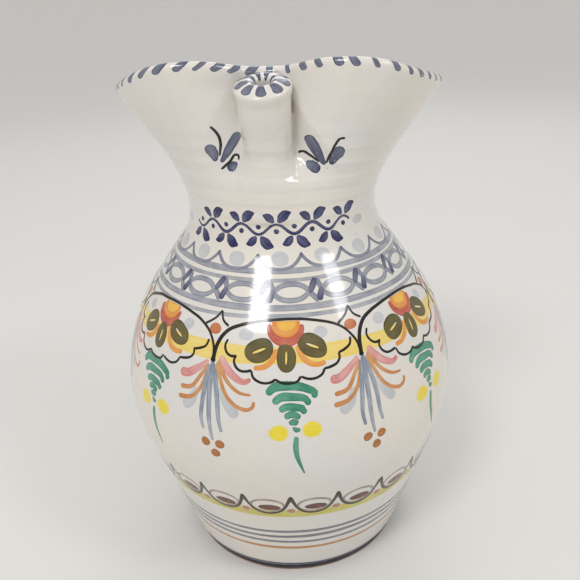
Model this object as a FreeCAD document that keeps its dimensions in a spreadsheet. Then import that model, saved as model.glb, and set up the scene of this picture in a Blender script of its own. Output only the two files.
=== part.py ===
# Hand-thrown, tin-glazed earthenware pouring jug, standing on its foot ring.
# Seven fired pieces: foot ring, thrown belly, neck collar with its two-lobed
# folded mouth, tubular pouring spout, pulled strap handle and the two clay
# coils that lute the handle on. Millimetres, +Z up, origin at the centre of
# the resting face. The spout points to -Y, turned a little towards -X.
import FreeCAD, Part
import math
import os
import Sketcher
from FreeCAD import Placement, Rotation, Vector

DRIVING_SIZES = [
    # foot ring, trimmed from the base
    ("foot_radius", 56.6),
    ("foot_width", 9.0),
    ("foot_height", 4.0),
    ("foot_round", 1.2),
    # thrown belly, from base edge to waist
    ("base_radius", 58.0),
    ("belly_radius", 84.3),
    ("belly_height", 92.5),
    ("lower_curve", 70.0),
    ("shoulder_curve", 91.0),
    ("neck_curve", 25.0),
    ("waist_radius", 45.4),
    ("waist_height", 184.0),
    ("wall", 5.5),
    ("floor_depth", 7.0),
    ("floor_curve", 14.0),
    # collar and its folded mouth
    ("mouth_turn", 7.0),
    ("pinch_reach", 32.0),
    ("side_reach", 75.2),
    ("back_reach", 63.0),
    ("pinch_height", 248.8),
    ("lobe_height", 252.8),
    ("side_height", 240.6),
    ("back_height", 236.5),
    ("lip", 5.8),
    # pouring tube
    ("spout_reach", 42.8),
    ("spout_height", 242.8),
    ("spout_tilt", 13.0),
    ("spout_radius", 11.4),
    ("spout_length", 49.0),
    ("spout_bore", 6.6),
    ("spout_lip_radius", 12.4),
    ("spout_mouth", 5.4),
    ("spout_flare", 14.0),
    # strap handle, along its middle line
    ("handle_top_height", 212.0),
    ("handle_crown_reach", 80.0),
    ("handle_crown_height", 224.0),
    ("handle_reach", 109.0),
    ("handle_reach_height", 190.0),
    ("handle_root_height", 122.0),
    ("strap_width", 31.0),
    ("strap_depth", 12.5),
    ("strap_groove", 1.4),
    # clay coils round the handle's ends
    ("coil_spread", 5.0),
    ("coil_length", 13.0),
]

# Rim stations, each an angle in degrees from the fold, then a share of the
# way from one named reach to the next and one from one height to the next.
# Fold: pinch to side reach, pinch to lobe height.
FOLD_STATION_SHARES = [
    (0.0, 0.0, 0.0),
    (15.0, 0.07, 0.10),
    (22.0, 0.21, 0.40),
    (30.0, 0.39, 0.84),
]
# Lobe: pinch to side reach, lobe to side height.
LOBE_STATION_SHARES = [
    (37.0, 0.54, 0.0),
    (45.0, 0.69, 0.05),
    (52.0, 0.80, 0.19),
    (62.0, 0.88, 0.47),
    (75.0, 0.94, 0.76),
]
# Back: side to back reach, side to back height.
BACK_STATION_SHARES = [
    (90.0, 0.0, 0.0),
    (115.0, 0.20, 0.45),
    (145.0, 0.75, 0.85),
    (180.0, 1.0, 1.0),
]
# How much of the room between shoulder and waist the neck's bend may fill.
NECK_ROOM_SHARE = 0.9
NECK_BEND_FORMULA = (
    "min(Sizes.neck_curve; %s * ((Sizes.waist_height - Sizes.belly_height)^2"
    " + (Sizes.waist_radius - Sizes.belly_radius + Sizes.shoulder_curve)^2"
    " - Sizes.shoulder_curve^2) / (2 * (Sizes.belly_radius - Sizes.waist_radius)))"
) % NECK_ROOM_SHARE
# Bezier handles of the flared wall: how high and how far out each one lies
# between the waist and the rim.
FLARE_START_SHARE = 0.35
FLARE_END_SHARES = (0.75, 0.72)
# Radial wall sections that the collar is lofted through.
COLLAR_SECTIONS = 36
# Strap sections: the place along the middle line, then width and depth as
# shares of the strap's.
STRAP_STATION_SHARES = [
    (0.0, 1.14, 1.08),
    (0.12, 1.08, 1.04),
    (0.3, 0.98, 1.0),
    (0.5, 0.92, 0.94),
    (0.7, 0.90, 0.90),
    (0.88, 0.94, 0.94),
    (1.0, 1.04, 1.04),
]
STRAP_OUTLINE_POINTS = 16
# The strap's lower bend: how far out and up it lies from root to widest reach.
LOW_BEND_SHARES = (0.84, 0.45)
GROOVE_WIDTH_SHARE = 0.17
# How far the strap's ends run on into the wall before they are trimmed, as a
# share of the wall.
ROOT_DEPTH_SHARE = 1.6
# Coil sections beyond the wall, as shares of the coil's length, and how much
# of its thickness is left at the far edge.
COIL_STATION_SHARES = (0.3, 0.65, 1.0)
COIL_END_SHARE = 0.18


def make_sheet(doc):
    """Spreadsheet with one named cell for each driving size."""
    sheet = doc.addObject("Spreadsheet::Sheet", "Sizes")
    for row, (alias, value) in enumerate(DRIVING_SIZES, start=1):
        sheet.set("A%d" % row, alias)
        sheet.set("B%d" % row, str(value))
        sheet.setAlias("B%d" % row, alias)
    doc.recompute()
    return sheet


def plane_of(body, role):
    """Origin plane of a body, found by its role."""
    for feature in body.Origin.OriginFeatures:
        if feature.Role == role:
            return feature
    raise ValueError(role)


def add_sketch(body, name, role):
    """Empty sketch on one of the body's own origin planes."""
    sketch = body.newObject("Sketcher::SketchObject", name)
    sketch.AttachmentSupport = [(plane_of(body, role), "")]
    sketch.MapMode = "FlatFace"
    return sketch


def bind(sketch, constraint, name, expression):
    """Add a dimension and drive it from the sheet."""
    index = sketch.addConstraint(constraint)
    sketch.renameConstraint(index, name)
    sketch.setExpression("Constraints." + name, expression)


def revolve(body, sketch, name):
    """Turn a profile once round its own vertical axis."""
    turned = body.newObject("PartDesign::Revolution", name)
    turned.Profile = sketch
    turned.ReferenceAxis = (sketch, ["V_Axis"])
    turned.Angle = 360.0
    sketch.Visibility = False
    return turned


def line(start, end):
    """Straight sketch edge between two (radius, height) places."""
    return Part.LineSegment(Vector(start[0], start[1], 0), Vector(end[0], end[1], 0))


def arc(centre, radius, first, last):
    """Sketch arc, anticlockwise from the first angle to the last."""
    circle = Part.Circle(Vector(centre[0], centre[1], 0), Vector(0, 0, 1), radius)
    return Part.ArcOfCircle(circle, first, last)


def on_circle(centre, radius, angle):
    """Place on a circle at an angle."""
    return (centre[0] + radius * math.cos(angle), centre[1] + radius * math.sin(angle))


def make_foot_ring(doc, sheet):
    """Trimmed ring that the jug stands on."""
    body = doc.addObject("PartDesign::Body", "FootRing")
    body.Label = "foot_ring"
    sketch = add_sketch(body, "FootProfile", "XZ_Plane")
    outer = sheet.foot_radius
    inner = outer - sheet.foot_width
    top = sheet.foot_height
    edge = sheet.foot_round
    sketch.addGeometry([
        line((inner + edge, 0), (outer - edge, 0)),
        arc((outer - edge, edge), edge, -math.pi / 2, 0),
        line((outer, edge), (outer, top)),
        line((outer, top), (inner, top)),
        line((inner, top), (inner, edge)),
        arc((inner + edge, edge), edge, math.pi, 1.5 * math.pi),
    ])
    for constraint in (
        Sketcher.Constraint("Tangent", 0, 2, 1, 1),
        Sketcher.Constraint("Tangent", 1, 2, 2, 1),
        Sketcher.Constraint("Coincident", 2, 2, 3, 1),
        Sketcher.Constraint("Coincident", 3, 2, 4, 1),
        Sketcher.Constraint("Tangent", 4, 2, 5, 1),
        Sketcher.Constraint("Tangent", 5, 2, 0, 1),
        Sketcher.Constraint("Equal", 1, 5),
        Sketcher.Constraint("Horizontal", 3),
        Sketcher.Constraint("Vertical", 2),
        Sketcher.Constraint("Vertical", 4),
        Sketcher.Constraint("PointOnObject", 0, 1, -1),
        Sketcher.Constraint("PointOnObject", 0, 2, -1),
    ):
        sketch.addConstraint(constraint)
    bind(sketch, Sketcher.Constraint("DistanceX", -1, 1, 2, 2, outer), "outer",
         "Sizes.foot_radius")
    bind(sketch, Sketcher.Constraint("DistanceX", 3, 2, 3, 1, outer - inner), "width",
         "Sizes.foot_width")
    bind(sketch, Sketcher.Constraint("DistanceY", -1, 1, 2, 2, top), "top",
         "Sizes.foot_height")
    bind(sketch, Sketcher.Constraint("Radius", 1, edge), "edge", "Sizes.foot_round")
    revolve(body, sketch, "FootTurned")
    return body


def neck_bend(sheet):
    """Radius of the bend into the waist, as far as the shoulder leaves room."""
    rise = sheet.waist_height - sheet.belly_height
    drop = sheet.waist_radius - sheet.belly_radius + sheet.shoulder_curve
    room = (rise ** 2 + drop ** 2 - sheet.shoulder_curve ** 2) / (
        2 * (sheet.belly_radius - sheet.waist_radius))
    return min(sheet.neck_curve, NECK_ROOM_SHARE * room)


def belly_layout(sheet):
    """Centres and tangent angles of the belly's outer outline."""
    lower = (sheet.belly_radius - sheet.lower_curve, sheet.belly_height)
    shoulder = (sheet.belly_radius - sheet.shoulder_curve, sheet.belly_height)
    curve = neck_bend(sheet)
    neck = (sheet.waist_radius + curve, sheet.waist_height)
    base = (sheet.base_radius, sheet.foot_height)
    run = (lower[0] - base[0], lower[1] - base[1])
    spread = math.asin(sheet.lower_curve / math.hypot(run[0], run[1]))
    base_angle = math.atan2(run[1], run[0]) - spread - math.pi / 2
    gap = (neck[0] - shoulder[0], neck[1] - shoulder[1])
    reach = (sheet.shoulder_curve + curve) / math.hypot(gap[0], gap[1])
    shoulder_angle = math.atan2(gap[1], gap[0]) - math.acos(reach)
    return lower, shoulder, neck, base, base_angle, shoulder_angle


def make_belly(doc, sheet):
    """Thrown belly: floor, swelling wall and shoulder up to the waist."""
    body = doc.addObject("PartDesign::Body", "Belly")
    body.Label = "belly"
    sketch = add_sketch(body, "BellyProfile", "XZ_Plane")
    lower, shoulder, neck, base, low, high = belly_layout(sheet)
    wall = sheet.wall
    belly = (sheet.belly_radius, sheet.belly_height)
    low_curve = sheet.lower_curve
    top_curve = sheet.shoulder_curve
    neck_curve = neck_bend(sheet)
    inner_low = low_curve - wall
    inner_top = top_curve - wall
    inner_neck = neck_curve + wall
    floor = sheet.foot_height + sheet.floor_depth
    bend = sheet.floor_curve
    out_low = on_circle(lower, low_curve, low)
    in_low = on_circle(lower, inner_low, low)
    lean = (math.sin(-low), math.cos(low))
    corner_height = floor + bend + bend * math.sin(low)
    corner_drop = (in_low[1] - corner_height) / lean[1]
    corner = (in_low[0] - corner_drop * lean[0], corner_height)
    bend_centre = (corner[0] - bend * math.cos(low), floor + bend)
    neck_back = high + math.pi
    sketch.addGeometry([
        line(base, out_low),
        arc(lower, low_curve, low, 0),
        arc(shoulder, top_curve, 0, high),
        line(on_circle(shoulder, top_curve, high), on_circle(neck, neck_curve, neck_back)),
        arc(neck, neck_curve, math.pi, neck_back),
        line((sheet.waist_radius, sheet.waist_height),
             (sheet.waist_radius - wall, sheet.waist_height)),
        arc(neck, inner_neck, math.pi, neck_back),
        line(on_circle(neck, inner_neck, neck_back), on_circle(shoulder, inner_top, high)),
        arc(shoulder, inner_top, 0, high),
        arc(lower, inner_low, low, 0),
        line(in_low, corner),
        arc(bend_centre, bend, -math.pi / 2, low),
        line((bend_centre[0], floor), (0, floor)),
        line((0, floor), (0, base[1])),
        line((0, base[1]), base),
    ])
    for constraint in (
        Sketcher.Constraint("Tangent", 0, 2, 1, 1),
        Sketcher.Constraint("Tangent", 1, 2, 2, 1),
        Sketcher.Constraint("Tangent", 2, 2, 3, 1),
        Sketcher.Constraint("Tangent", 3, 2, 4, 2),
        Sketcher.Constraint("Coincident", 4, 1, 5, 1),
        Sketcher.Constraint("Coincident", 5, 2, 6, 1),
        Sketcher.Constraint("Tangent", 6, 2, 7, 1),
        Sketcher.Constraint("Tangent", 7, 2, 8, 2),
        Sketcher.Constraint("Tangent", 8, 1, 9, 2),
        Sketcher.Constraint("Tangent", 9, 1, 10, 1),
        Sketcher.Constraint("Tangent", 10, 2, 11, 2),
        Sketcher.Constraint("Tangent", 11, 1, 12, 1),
        Sketcher.Constraint("Coincident", 12, 2, 13, 1),
        Sketcher.Constraint("Coincident", 13, 2, 14, 1),
        Sketcher.Constraint("Coincident", 14, 2, 0, 1),
        Sketcher.Constraint("Horizontal", 1, 3, 1, 2),
        Sketcher.Constraint("Horizontal", 4, 3, 4, 1),
        Sketcher.Constraint("Coincident", 6, 3, 4, 3),
        Sketcher.Constraint("Coincident", 8, 3, 2, 3),
        Sketcher.Constraint("Coincident", 9, 3, 1, 3),
        Sketcher.Constraint("Horizontal", 5),
        Sketcher.Constraint("Parallel", 0, 10),
        Sketcher.Constraint("Horizontal", 12),
        Sketcher.Constraint("PointOnObject", 12, 2, -2),
        Sketcher.Constraint("PointOnObject", 13, 2, -2),
        Sketcher.Constraint("Horizontal", 14),
    ):
        sketch.addConstraint(constraint)
    bind(sketch, Sketcher.Constraint("DistanceX", -1, 1, 0, 1, base[0]), "base_reach",
         "Sizes.base_radius")
    bind(sketch, Sketcher.Constraint("DistanceY", -1, 1, 0, 1, base[1]), "base_lift",
         "Sizes.foot_height")
    bind(sketch, Sketcher.Constraint("DistanceX", -1, 1, 1, 2, belly[0]), "belly_reach",
         "Sizes.belly_radius")
    bind(sketch, Sketcher.Constraint("DistanceY", -1, 1, 1, 2, belly[1]), "belly_lift",
         "Sizes.belly_height")
    bind(sketch, Sketcher.Constraint("Radius", 1, low_curve), "lower", "Sizes.lower_curve")
    bind(sketch, Sketcher.Constraint("Radius", 2, top_curve), "upper",
         "Sizes.shoulder_curve")
    bind(sketch, Sketcher.Constraint("Radius", 4, neck_curve), "neck", NECK_BEND_FORMULA)
    bind(sketch, Sketcher.Constraint("DistanceX", -1, 1, 4, 1, sheet.waist_radius),
         "waist_reach", "Sizes.waist_radius")
    bind(sketch, Sketcher.Constraint("DistanceY", -1, 1, 4, 1, sheet.waist_height),
         "waist_lift", "Sizes.waist_height")
    bind(sketch, Sketcher.Constraint("DistanceX", 5, 2, 5, 1, wall), "neck_wall",
         "Sizes.wall")
    bind(sketch, Sketcher.Constraint("Radius", 9, inner_low), "inner_lower",
         "Sizes.lower_curve - Sizes.wall")
    bind(sketch, Sketcher.Constraint("DistanceY", 13, 2, 13, 1, sheet.floor_depth), "floor",
         "Sizes.floor_depth")
    bind(sketch, Sketcher.Constraint("Radius", 11, bend), "floor_bend",
         "Sizes.floor_curve")
    revolve(body, sketch, "BellyTurned")
    return body


def between(start, end, share):
    """Size a share of the way from one size to another."""
    return start + share * (end - start)


def rim_stations(sheet):
    """Angle, outer reach and crest height of each rim station."""
    stations = []
    for angle, reach, height in FOLD_STATION_SHARES:
        stations.append((angle, between(sheet.pinch_reach, sheet.side_reach, reach),
                         between(sheet.pinch_height, sheet.lobe_height, height)))
    for angle, reach, height in LOBE_STATION_SHARES:
        stations.append((angle, between(sheet.pinch_reach, sheet.side_reach, reach),
                         between(sheet.lobe_height, sheet.side_height, height)))
    for angle, reach, height in BACK_STATION_SHARES:
        stations.append((angle, between(sheet.side_reach, sheet.back_reach, reach),
                         between(sheet.side_height, sheet.back_height, height)))
    return stations


def station_slope(stations, index, column):
    """Slope of the rim at a station, level at the fold and at the back."""
    if index in (0, len(stations) - 1):
        return 0.0
    before, after = stations[index - 1], stations[index + 1]
    return (after[column] - before[column]) / (after[0] - before[0])


def rim_place(sheet, angle):
    """Outer reach and crest height of the rim at an angle from the fold."""
    angle = abs((angle + 180.0) % 360.0 - 180.0)
    stations = rim_stations(sheet)
    index = 0
    while stations[index + 1][0] < angle:
        index += 1
    left, right = stations[index], stations[index + 1]
    step = right[0] - left[0]
    place = (angle - left[0]) / step
    square, cube = place ** 2, place ** 3
    values = []
    for column in (1, 2):
        values.append(
            (2 * cube - 3 * square + 1) * left[column]
            + (cube - 2 * square + place) * step * station_slope(stations, index, column)
            + (3 * square - 2 * cube) * right[column]
            + (cube - square) * step * station_slope(stations, index + 1, column)
        )
    return values[0], values[1]


def flare(foot, rim):
    """Curve of the flared wall between two (radius, height) places."""
    rise = rim[1] - foot[1]
    out = rim[0] - foot[0]
    return [
        foot,
        (foot[0], foot[1] + FLARE_START_SHARE * rise),
        (foot[0] + FLARE_END_SHARES[0] * out, foot[1] + FLARE_END_SHARES[1] * rise),
        rim,
    ]


def collar_section(sheet, angle):
    """Closed outline of the collar's wall in the half plane at one angle."""
    reach, height = rim_place(sheet, angle)
    turn = math.radians(-90.0 - sheet.mouth_turn + angle)
    half = sheet.lip / 2

    def place(point):
        return Vector(point[0] * math.cos(turn), point[0] * math.sin(turn), point[1])

    outer_foot = (sheet.waist_radius, sheet.waist_height)
    inner_foot = (sheet.waist_radius - sheet.wall, sheet.waist_height)
    outer_lip = (reach, height - half)
    inner_lip = (reach - sheet.lip, height - half)
    crest = (reach - half, height)
    outer = Part.BezierCurve()
    outer.setPoles([place(point) for point in flare(outer_foot, outer_lip)])
    inner = Part.BezierCurve()
    inner.setPoles([place(point) for point in reversed(flare(inner_foot, inner_lip))])
    lip = Part.Arc(place(outer_lip), place(crest), place(inner_lip))
    seat = Part.LineSegment(place(inner_foot), place(outer_foot))
    return Part.Wire([outer.toShape(), lip.toShape(), inner.toShape(), seat.toShape()])


def make_collar_wall(sheet):
    """Neck and two-lobed mouth, lofted round through its radial sections."""
    step = 360.0 / COLLAR_SECTIONS
    sections = [collar_section(sheet, step * index) for index in range(COLLAR_SECTIONS)]
    return Part.makeLoft(sections, True, False, True)


def make_spout(doc, sheet):
    """Tubular pouring spout with its rolled lip, turned about its own axis."""
    body = doc.addObject("PartDesign::Body", "SpoutTube")
    body.Label = "spout_tube"
    sketch = add_sketch(body, "SpoutProfile", "XZ_Plane")
    bead = (sheet.spout_lip_radius - sheet.spout_mouth) / 2
    bead_centre = (sheet.spout_mouth + bead, -bead)
    flare_reach = sheet.spout_radius + sheet.spout_flare
    span = bead + sheet.spout_flare
    flare_drop = math.sqrt(span ** 2 - (flare_reach - bead_centre[0]) ** 2)
    flare_centre = (flare_reach, bead_centre[1] - flare_drop)
    meet = math.atan2(flare_drop, bead_centre[0] - flare_reach)
    end = -sheet.spout_length
    sketch.addGeometry([
        line((sheet.spout_radius, end), (sheet.spout_radius, flare_centre[1])),
        arc(flare_centre, sheet.spout_flare, meet, math.pi),
        arc(bead_centre, bead, meet - math.pi, math.pi),
        line((sheet.spout_mouth, -bead), (sheet.spout_bore, end)),
        line((sheet.spout_bore, end), (sheet.spout_radius, end)),
    ])
    for constraint in (
        Sketcher.Constraint("Tangent", 0, 2, 1, 2),
        Sketcher.Constraint("Tangent", 1, 1, 2, 1),
        Sketcher.Constraint("Coincident", 2, 2, 3, 1),
        Sketcher.Constraint("Coincident", 3, 2, 4, 1),
        Sketcher.Constraint("Coincident", 4, 2, 0, 1),
        Sketcher.Constraint("Horizontal", 4),
        Sketcher.Constraint("Vertical", 0),
        Sketcher.Constraint("Horizontal", 2, 2, 2, 3),
    ):
        sketch.addConstraint(constraint)
    bind(sketch, Sketcher.Constraint("DistanceX", -1, 1, 0, 1, sheet.spout_radius),
         "tube", "Sizes.spout_radius")
    bind(sketch, Sketcher.Constraint("DistanceX", -1, 1, 3, 2, sheet.spout_bore),
         "bore", "Sizes.spout_bore")
    bind(sketch, Sketcher.Constraint("DistanceX", -1, 1, 3, 1, sheet.spout_mouth),
         "mouth", "Sizes.spout_mouth")
    bind(sketch, Sketcher.Constraint("Radius", 2, bead), "bead",
         "(Sizes.spout_lip_radius - Sizes.spout_mouth) / 2")
    bind(sketch, Sketcher.Constraint("Radius", 1, sheet.spout_flare), "flare",
         "Sizes.spout_flare")
    bind(sketch, Sketcher.Constraint("DistanceY", 2, 3, -1, 1, bead), "crest",
         "(Sizes.spout_lip_radius - Sizes.spout_mouth) / 2")
    bind(sketch, Sketcher.Constraint("DistanceY", 3, 2, -1, 1, sheet.spout_length),
         "length", "Sizes.spout_length")
    revolve(body, sketch, "SpoutTurned")
    body.Placement = spout_placement(sheet)
    return body


def spout_placement(sheet):
    """Place of the spout's lip: out at the fold, leaning forwards."""
    turn = Rotation(Vector(0, 0, 1), -sheet.mouth_turn)
    lean = Rotation(Vector(1, 0, 0), sheet.spout_tilt)
    centre = turn.multVec(Vector(0, -sheet.spout_reach, sheet.spout_height))
    return Placement(centre, turn.multiply(lean))


def largest_solid(shape):
    """The biggest solid of a cut, without the slivers beside it."""
    return max(shape.Solids, key=lambda solid: solid.Volume)


def outermost_solid(shape):
    """The solid of a cut that stands furthest out from the jug's axis."""
    return max(shape.Solids, key=lambda solid: math.hypot(solid.CenterOfMass.x,
                                                          solid.CenterOfMass.y))


def make_collar(doc, sheet, wall, spout):
    """Neck collar with the spout's own seat cut through its folded front."""
    plug_radius = (sheet.spout_radius + sheet.spout_bore) / 2
    plug_end = (sheet.spout_lip_radius - sheet.spout_mouth) / 2
    plug = Part.makeCylinder(plug_radius, sheet.spout_length - plug_end,
                             Vector(0, 0, -sheet.spout_length))
    plug.Placement = spout_placement(sheet)
    seated = wall.cut(spout.Shape.fuse(plug))
    collar = doc.addObject("Part::Feature", "NeckCollar")
    collar.Label = "neck_collar"
    collar.Shape = largest_solid(seated)
    return collar


def wall_reach(sheet, angle, height):
    """Outer radius of the collar at an angle and height, by bisection."""
    reach, crest = rim_place(sheet, angle)
    poles = flare((sheet.waist_radius, sheet.waist_height), (reach, crest - sheet.lip / 2))
    low, high = 0.0, 1.0
    for _ in range(40):
        middle = (low + high) / 2
        weights = ((1 - middle) ** 3, 3 * middle * (1 - middle) ** 2,
                   3 * middle ** 2 * (1 - middle), middle ** 3)
        if sum(w * p[1] for w, p in zip(weights, poles)) < height:
            low = middle
        else:
            high = middle
    return sum(w * p[0] for w, p in zip(weights, poles))


def belly_reach(sheet, height):
    """Outer radius of the belly's upper half at a height."""
    rise = height - sheet.belly_height
    return sheet.belly_radius - sheet.shoulder_curve + math.sqrt(
        sheet.shoulder_curve ** 2 - rise ** 2)


def strap_line(sheet):
    """Middle line of the handle in its own (reach, height) plane."""
    depth = ROOT_DEPTH_SHARE * sheet.wall
    top = (wall_reach(sheet, 180.0, sheet.handle_top_height) - depth,
           sheet.handle_top_height)
    root = (belly_reach(sheet, sheet.handle_root_height) - depth,
            sheet.handle_root_height)
    crown = (sheet.handle_crown_reach, sheet.handle_crown_height)
    bend = (sheet.handle_reach, sheet.handle_reach_height)
    low = (root[0] + LOW_BEND_SHARES[0] * (bend[0] - root[0]),
           root[1] + LOW_BEND_SHARES[1] * (bend[1] - root[1]))
    curve = Part.BSplineCurve()
    curve.interpolate([Vector(0, p[0], p[1]) for p in (top, crown, bend, low, root)])
    return curve


def strap_section(sheet, curve, share, width, depth):
    """Oval strap outline, dished along its back by the potter's thumb."""
    first = curve.FirstParameter
    at = first + share * (curve.LastParameter - first)
    middle = curve.value(at)
    along = curve.tangent(at)[0]
    side = Vector(1, 0, 0)
    out = side.cross(along).normalize() * -1
    points = []
    for index in range(STRAP_OUTLINE_POINTS):
        angle = 2 * math.pi * index / STRAP_OUTLINE_POINTS
        across = width / 2 * math.cos(angle)
        over = depth / 2 * math.sin(angle)
        if over > 0:
            dish = math.exp(-(across / (GROOVE_WIDTH_SHARE * width)) ** 2)
            over -= sheet.strap_groove * dish
        points.append(middle + side * across + out * over)
    outline = Part.BSplineCurve()
    outline.interpolate(points, PeriodicFlag=True)
    return Part.Wire([outline.toShape()])


def strap_loft(sheet, curve, stations, spread):
    """Solid through strap sections, each spread by a clay thickness."""
    sections = []
    for share, width, depth in stations:
        grown = 2 * spread(share)
        sections.append(strap_section(sheet, curve, share,
                                      width * sheet.strap_width + grown,
                                      depth * sheet.strap_depth + grown))
    return Part.makeLoft(sections, True, False)


def back_placement(sheet):
    """Turn that brings the handle's plane opposite the spout."""
    return Placement(Vector(0, 0, 0), Rotation(Vector(0, 0, 1), -sheet.mouth_turn))


def make_handle(doc, sheet, curve, collar, belly):
    """Pulled strap handle, trimmed to the wall that carries each end."""
    strap = strap_loft(sheet, curve, STRAP_STATION_SHARES, lambda share: 0.0)
    strap.Placement = back_placement(sheet)
    trimmed = outermost_solid(strap.cut(collar.Shape.fuse(belly.Shape)))
    handle = doc.addObject("Part::Feature", "StrapHandle")
    handle.Label = "strap_handle"
    handle.Shape = trimmed
    return handle, strap


def make_coil(doc, sheet, curve, strap, wall, label, at_top):
    """Coil of clay worked round one end of the handle, thickest at the wall."""
    hidden = ROOT_DEPTH_SHARE * sheet.wall / curve.length()
    reach = hidden + sheet.coil_length / curve.length()
    runs = [0.0, hidden] + [hidden + place * (reach - hidden) for place in COIL_STATION_SHARES]
    stations = []
    for run in runs:
        share = run if at_top else 1.0 - run
        stations.append((share,) + strap_shares(share))

    def spread(share):
        run = share if at_top else 1.0 - share
        left = min(1.0, (reach - run) / (reach - hidden))
        return sheet.coil_spread * (COIL_END_SHARE + (1 - COIL_END_SHARE) * left * left)

    sleeve = strap_loft(sheet, curve, stations, spread)
    sleeve.Placement = back_placement(sheet)
    coil = doc.addObject("Part::Feature", label.title().replace("_", ""))
    coil.Label = label
    coil.Shape = outermost_solid(sleeve.cut(strap).cut(wall.Shape))
    return coil


def strap_shares(share):
    """Width and depth shares of the strap at a place along it."""
    for left, right in zip(STRAP_STATION_SHARES, STRAP_STATION_SHARES[1:]):
        if share <= right[0]:
            place = (share - left[0]) / (right[0] - left[0])
            return (left[1] + place * (right[1] - left[1]),
                    left[2] + place * (right[2] - left[2]))
    return STRAP_STATION_SHARES[-1][1:]


def check(doc, parts):
    """Stop if any object failed or any sub-part is not one valid solid."""
    for item in doc.Objects:
        if "Invalid" in item.State or "Error" in item.State:
            raise RuntimeError("failed: " + item.Name)
    for part in parts:
        shape = part.Shape
        if shape.isNull() or not shape.isValid() or len(shape.Solids) != 1:
            raise RuntimeError("bad shape: " + part.Label)


def main():
    doc = FreeCAD.newDocument("PouringJug")
    sheet = make_sheet(doc)
    foot = make_foot_ring(doc, sheet)
    belly = make_belly(doc, sheet)
    spout = make_spout(doc, sheet)
    doc.recompute()
    collar = make_collar(doc, sheet, make_collar_wall(sheet), spout)
    curve = strap_line(sheet)
    handle, strap = make_handle(doc, sheet, curve, collar, belly)
    upper = make_coil(doc, sheet, curve, strap, collar, "upper_luting_coil", True)
    lower = make_coil(doc, sheet, curve, strap, belly, "lower_luting_coil", False)
    doc.recompute()
    parts = [foot, belly, collar, spout, handle, upper, lower]
    check(doc, parts)
    os.makedirs("parts", exist_ok=True)
    for part in parts:
        part.Shape.exportStep(os.path.join("parts", part.Label + ".step"))
        print(part.Label, round(part.Shape.Volume), part.Shape.BoundBox)


main()
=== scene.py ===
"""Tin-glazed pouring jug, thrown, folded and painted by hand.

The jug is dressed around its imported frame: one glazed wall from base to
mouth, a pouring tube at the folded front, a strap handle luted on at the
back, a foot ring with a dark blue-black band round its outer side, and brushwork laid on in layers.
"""
import logging
import math
import random
from collections.abc import Callable, Sequence
from dataclasses import dataclass, field
from enum import Enum

import bmesh
import bpy
import numpy as np
from bpy.types import Material, Mesh, Node, NodeSocket, NodeTree
from mathutils import Matrix, Vector
from mathutils.bvhtree import BVHTree


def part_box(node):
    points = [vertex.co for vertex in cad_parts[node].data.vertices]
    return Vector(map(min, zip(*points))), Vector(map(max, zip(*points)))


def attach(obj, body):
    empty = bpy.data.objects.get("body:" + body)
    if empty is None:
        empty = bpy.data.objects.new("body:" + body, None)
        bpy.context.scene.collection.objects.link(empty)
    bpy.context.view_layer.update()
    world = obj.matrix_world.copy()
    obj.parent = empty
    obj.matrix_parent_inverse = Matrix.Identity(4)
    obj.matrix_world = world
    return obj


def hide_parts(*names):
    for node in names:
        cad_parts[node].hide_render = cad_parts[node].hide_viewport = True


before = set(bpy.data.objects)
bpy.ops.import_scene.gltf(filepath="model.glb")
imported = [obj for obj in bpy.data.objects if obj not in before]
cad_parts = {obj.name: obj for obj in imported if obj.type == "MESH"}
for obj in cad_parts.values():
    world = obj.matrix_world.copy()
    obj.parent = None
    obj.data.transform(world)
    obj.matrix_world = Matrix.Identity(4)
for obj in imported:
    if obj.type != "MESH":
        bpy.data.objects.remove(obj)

Array = np.ndarray
Piece = bpy.types.Object
Colour = tuple[float, float, float, float]
Spot = tuple[float, float, float]
Place = tuple[float, float]
Places = Sequence[Place]
Rows = tuple[Array, Array]

MM = 0.001
DEGREE = math.pi / 180
BODY = "root"
BRUSH_UV, EDGE, LOAD, WALL_NORMAL, LIFT = "brush", "edge", "load", "wall_normal", "lift"
SIDE, UPWARDS = (1.0, 0.0, 0.0), (0.0, 0.0, 1.0)

log = logging.getLogger("jug")


class Slot(Enum):
    """The record's material slots."""

    GLAZE = "white_glaze"
    CLAY = "bare_clay"


def paint(*screen: int) -> Colour:
    """Linear colour of one as seen on screen, whose channels go from 0 to 255."""
    levels = (level / 255 for level in screen)
    return (*(x / 12.92 if x <= 0.04045 else ((x + 0.055) / 1.055) ** 2.4 for x in levels), 1.0)


def shares(start: float, end: float, share: float) -> float:
    """Size a share of the way from one size to another."""
    return start + share * (end - start)


def smooth_step(low: float, high: float, value: Array) -> Array:
    """Ease from 0 at the low value to 1 at the high one."""
    share = np.clip((value - low) / (high - low), 0.0, 1.0)
    return share * share * (3 - 2 * share)


def window(rise: Place, fall: Place, value: Array) -> Array:
    """Ease up from 0 to 1 over the rise and down again over the fall."""
    return smooth_step(*rise, value) * (1 - smooth_step(*fall, value))


def smooth_most(first: Array, second: Array, blend: float) -> Array:
    """Larger of two values, rounded off where they are less than the blend apart."""
    near = np.maximum(blend - np.abs(first - second), 0.0) / blend
    return np.maximum(first, second) + near * near * blend / 4


def half_turned(angles: Array) -> Array:
    """The same angles, from -180 to 180 degrees."""
    return (angles + 180.0) % 360.0 - 180.0


def whole_turn(count: int) -> Array:
    """Even steps once round, in radians."""
    return np.linspace(0.0, 2 * math.pi, count, endpoint=False)


def round_axis(radius: Array, turn: Array, height: Array) -> Array:
    """Places round the jug's axis; the turn is in radians, from the front to the right."""
    return np.stack(np.broadcast_arrays(radius * np.sin(turn), -radius * np.cos(turn), height), axis=-1)


def lengths_along(points: Array) -> Array:
    """How far along a line each of its points lies."""
    return np.concatenate([[0.0], np.cumsum(np.linalg.norm(np.diff(points, axis=0), axis=1))])


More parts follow.
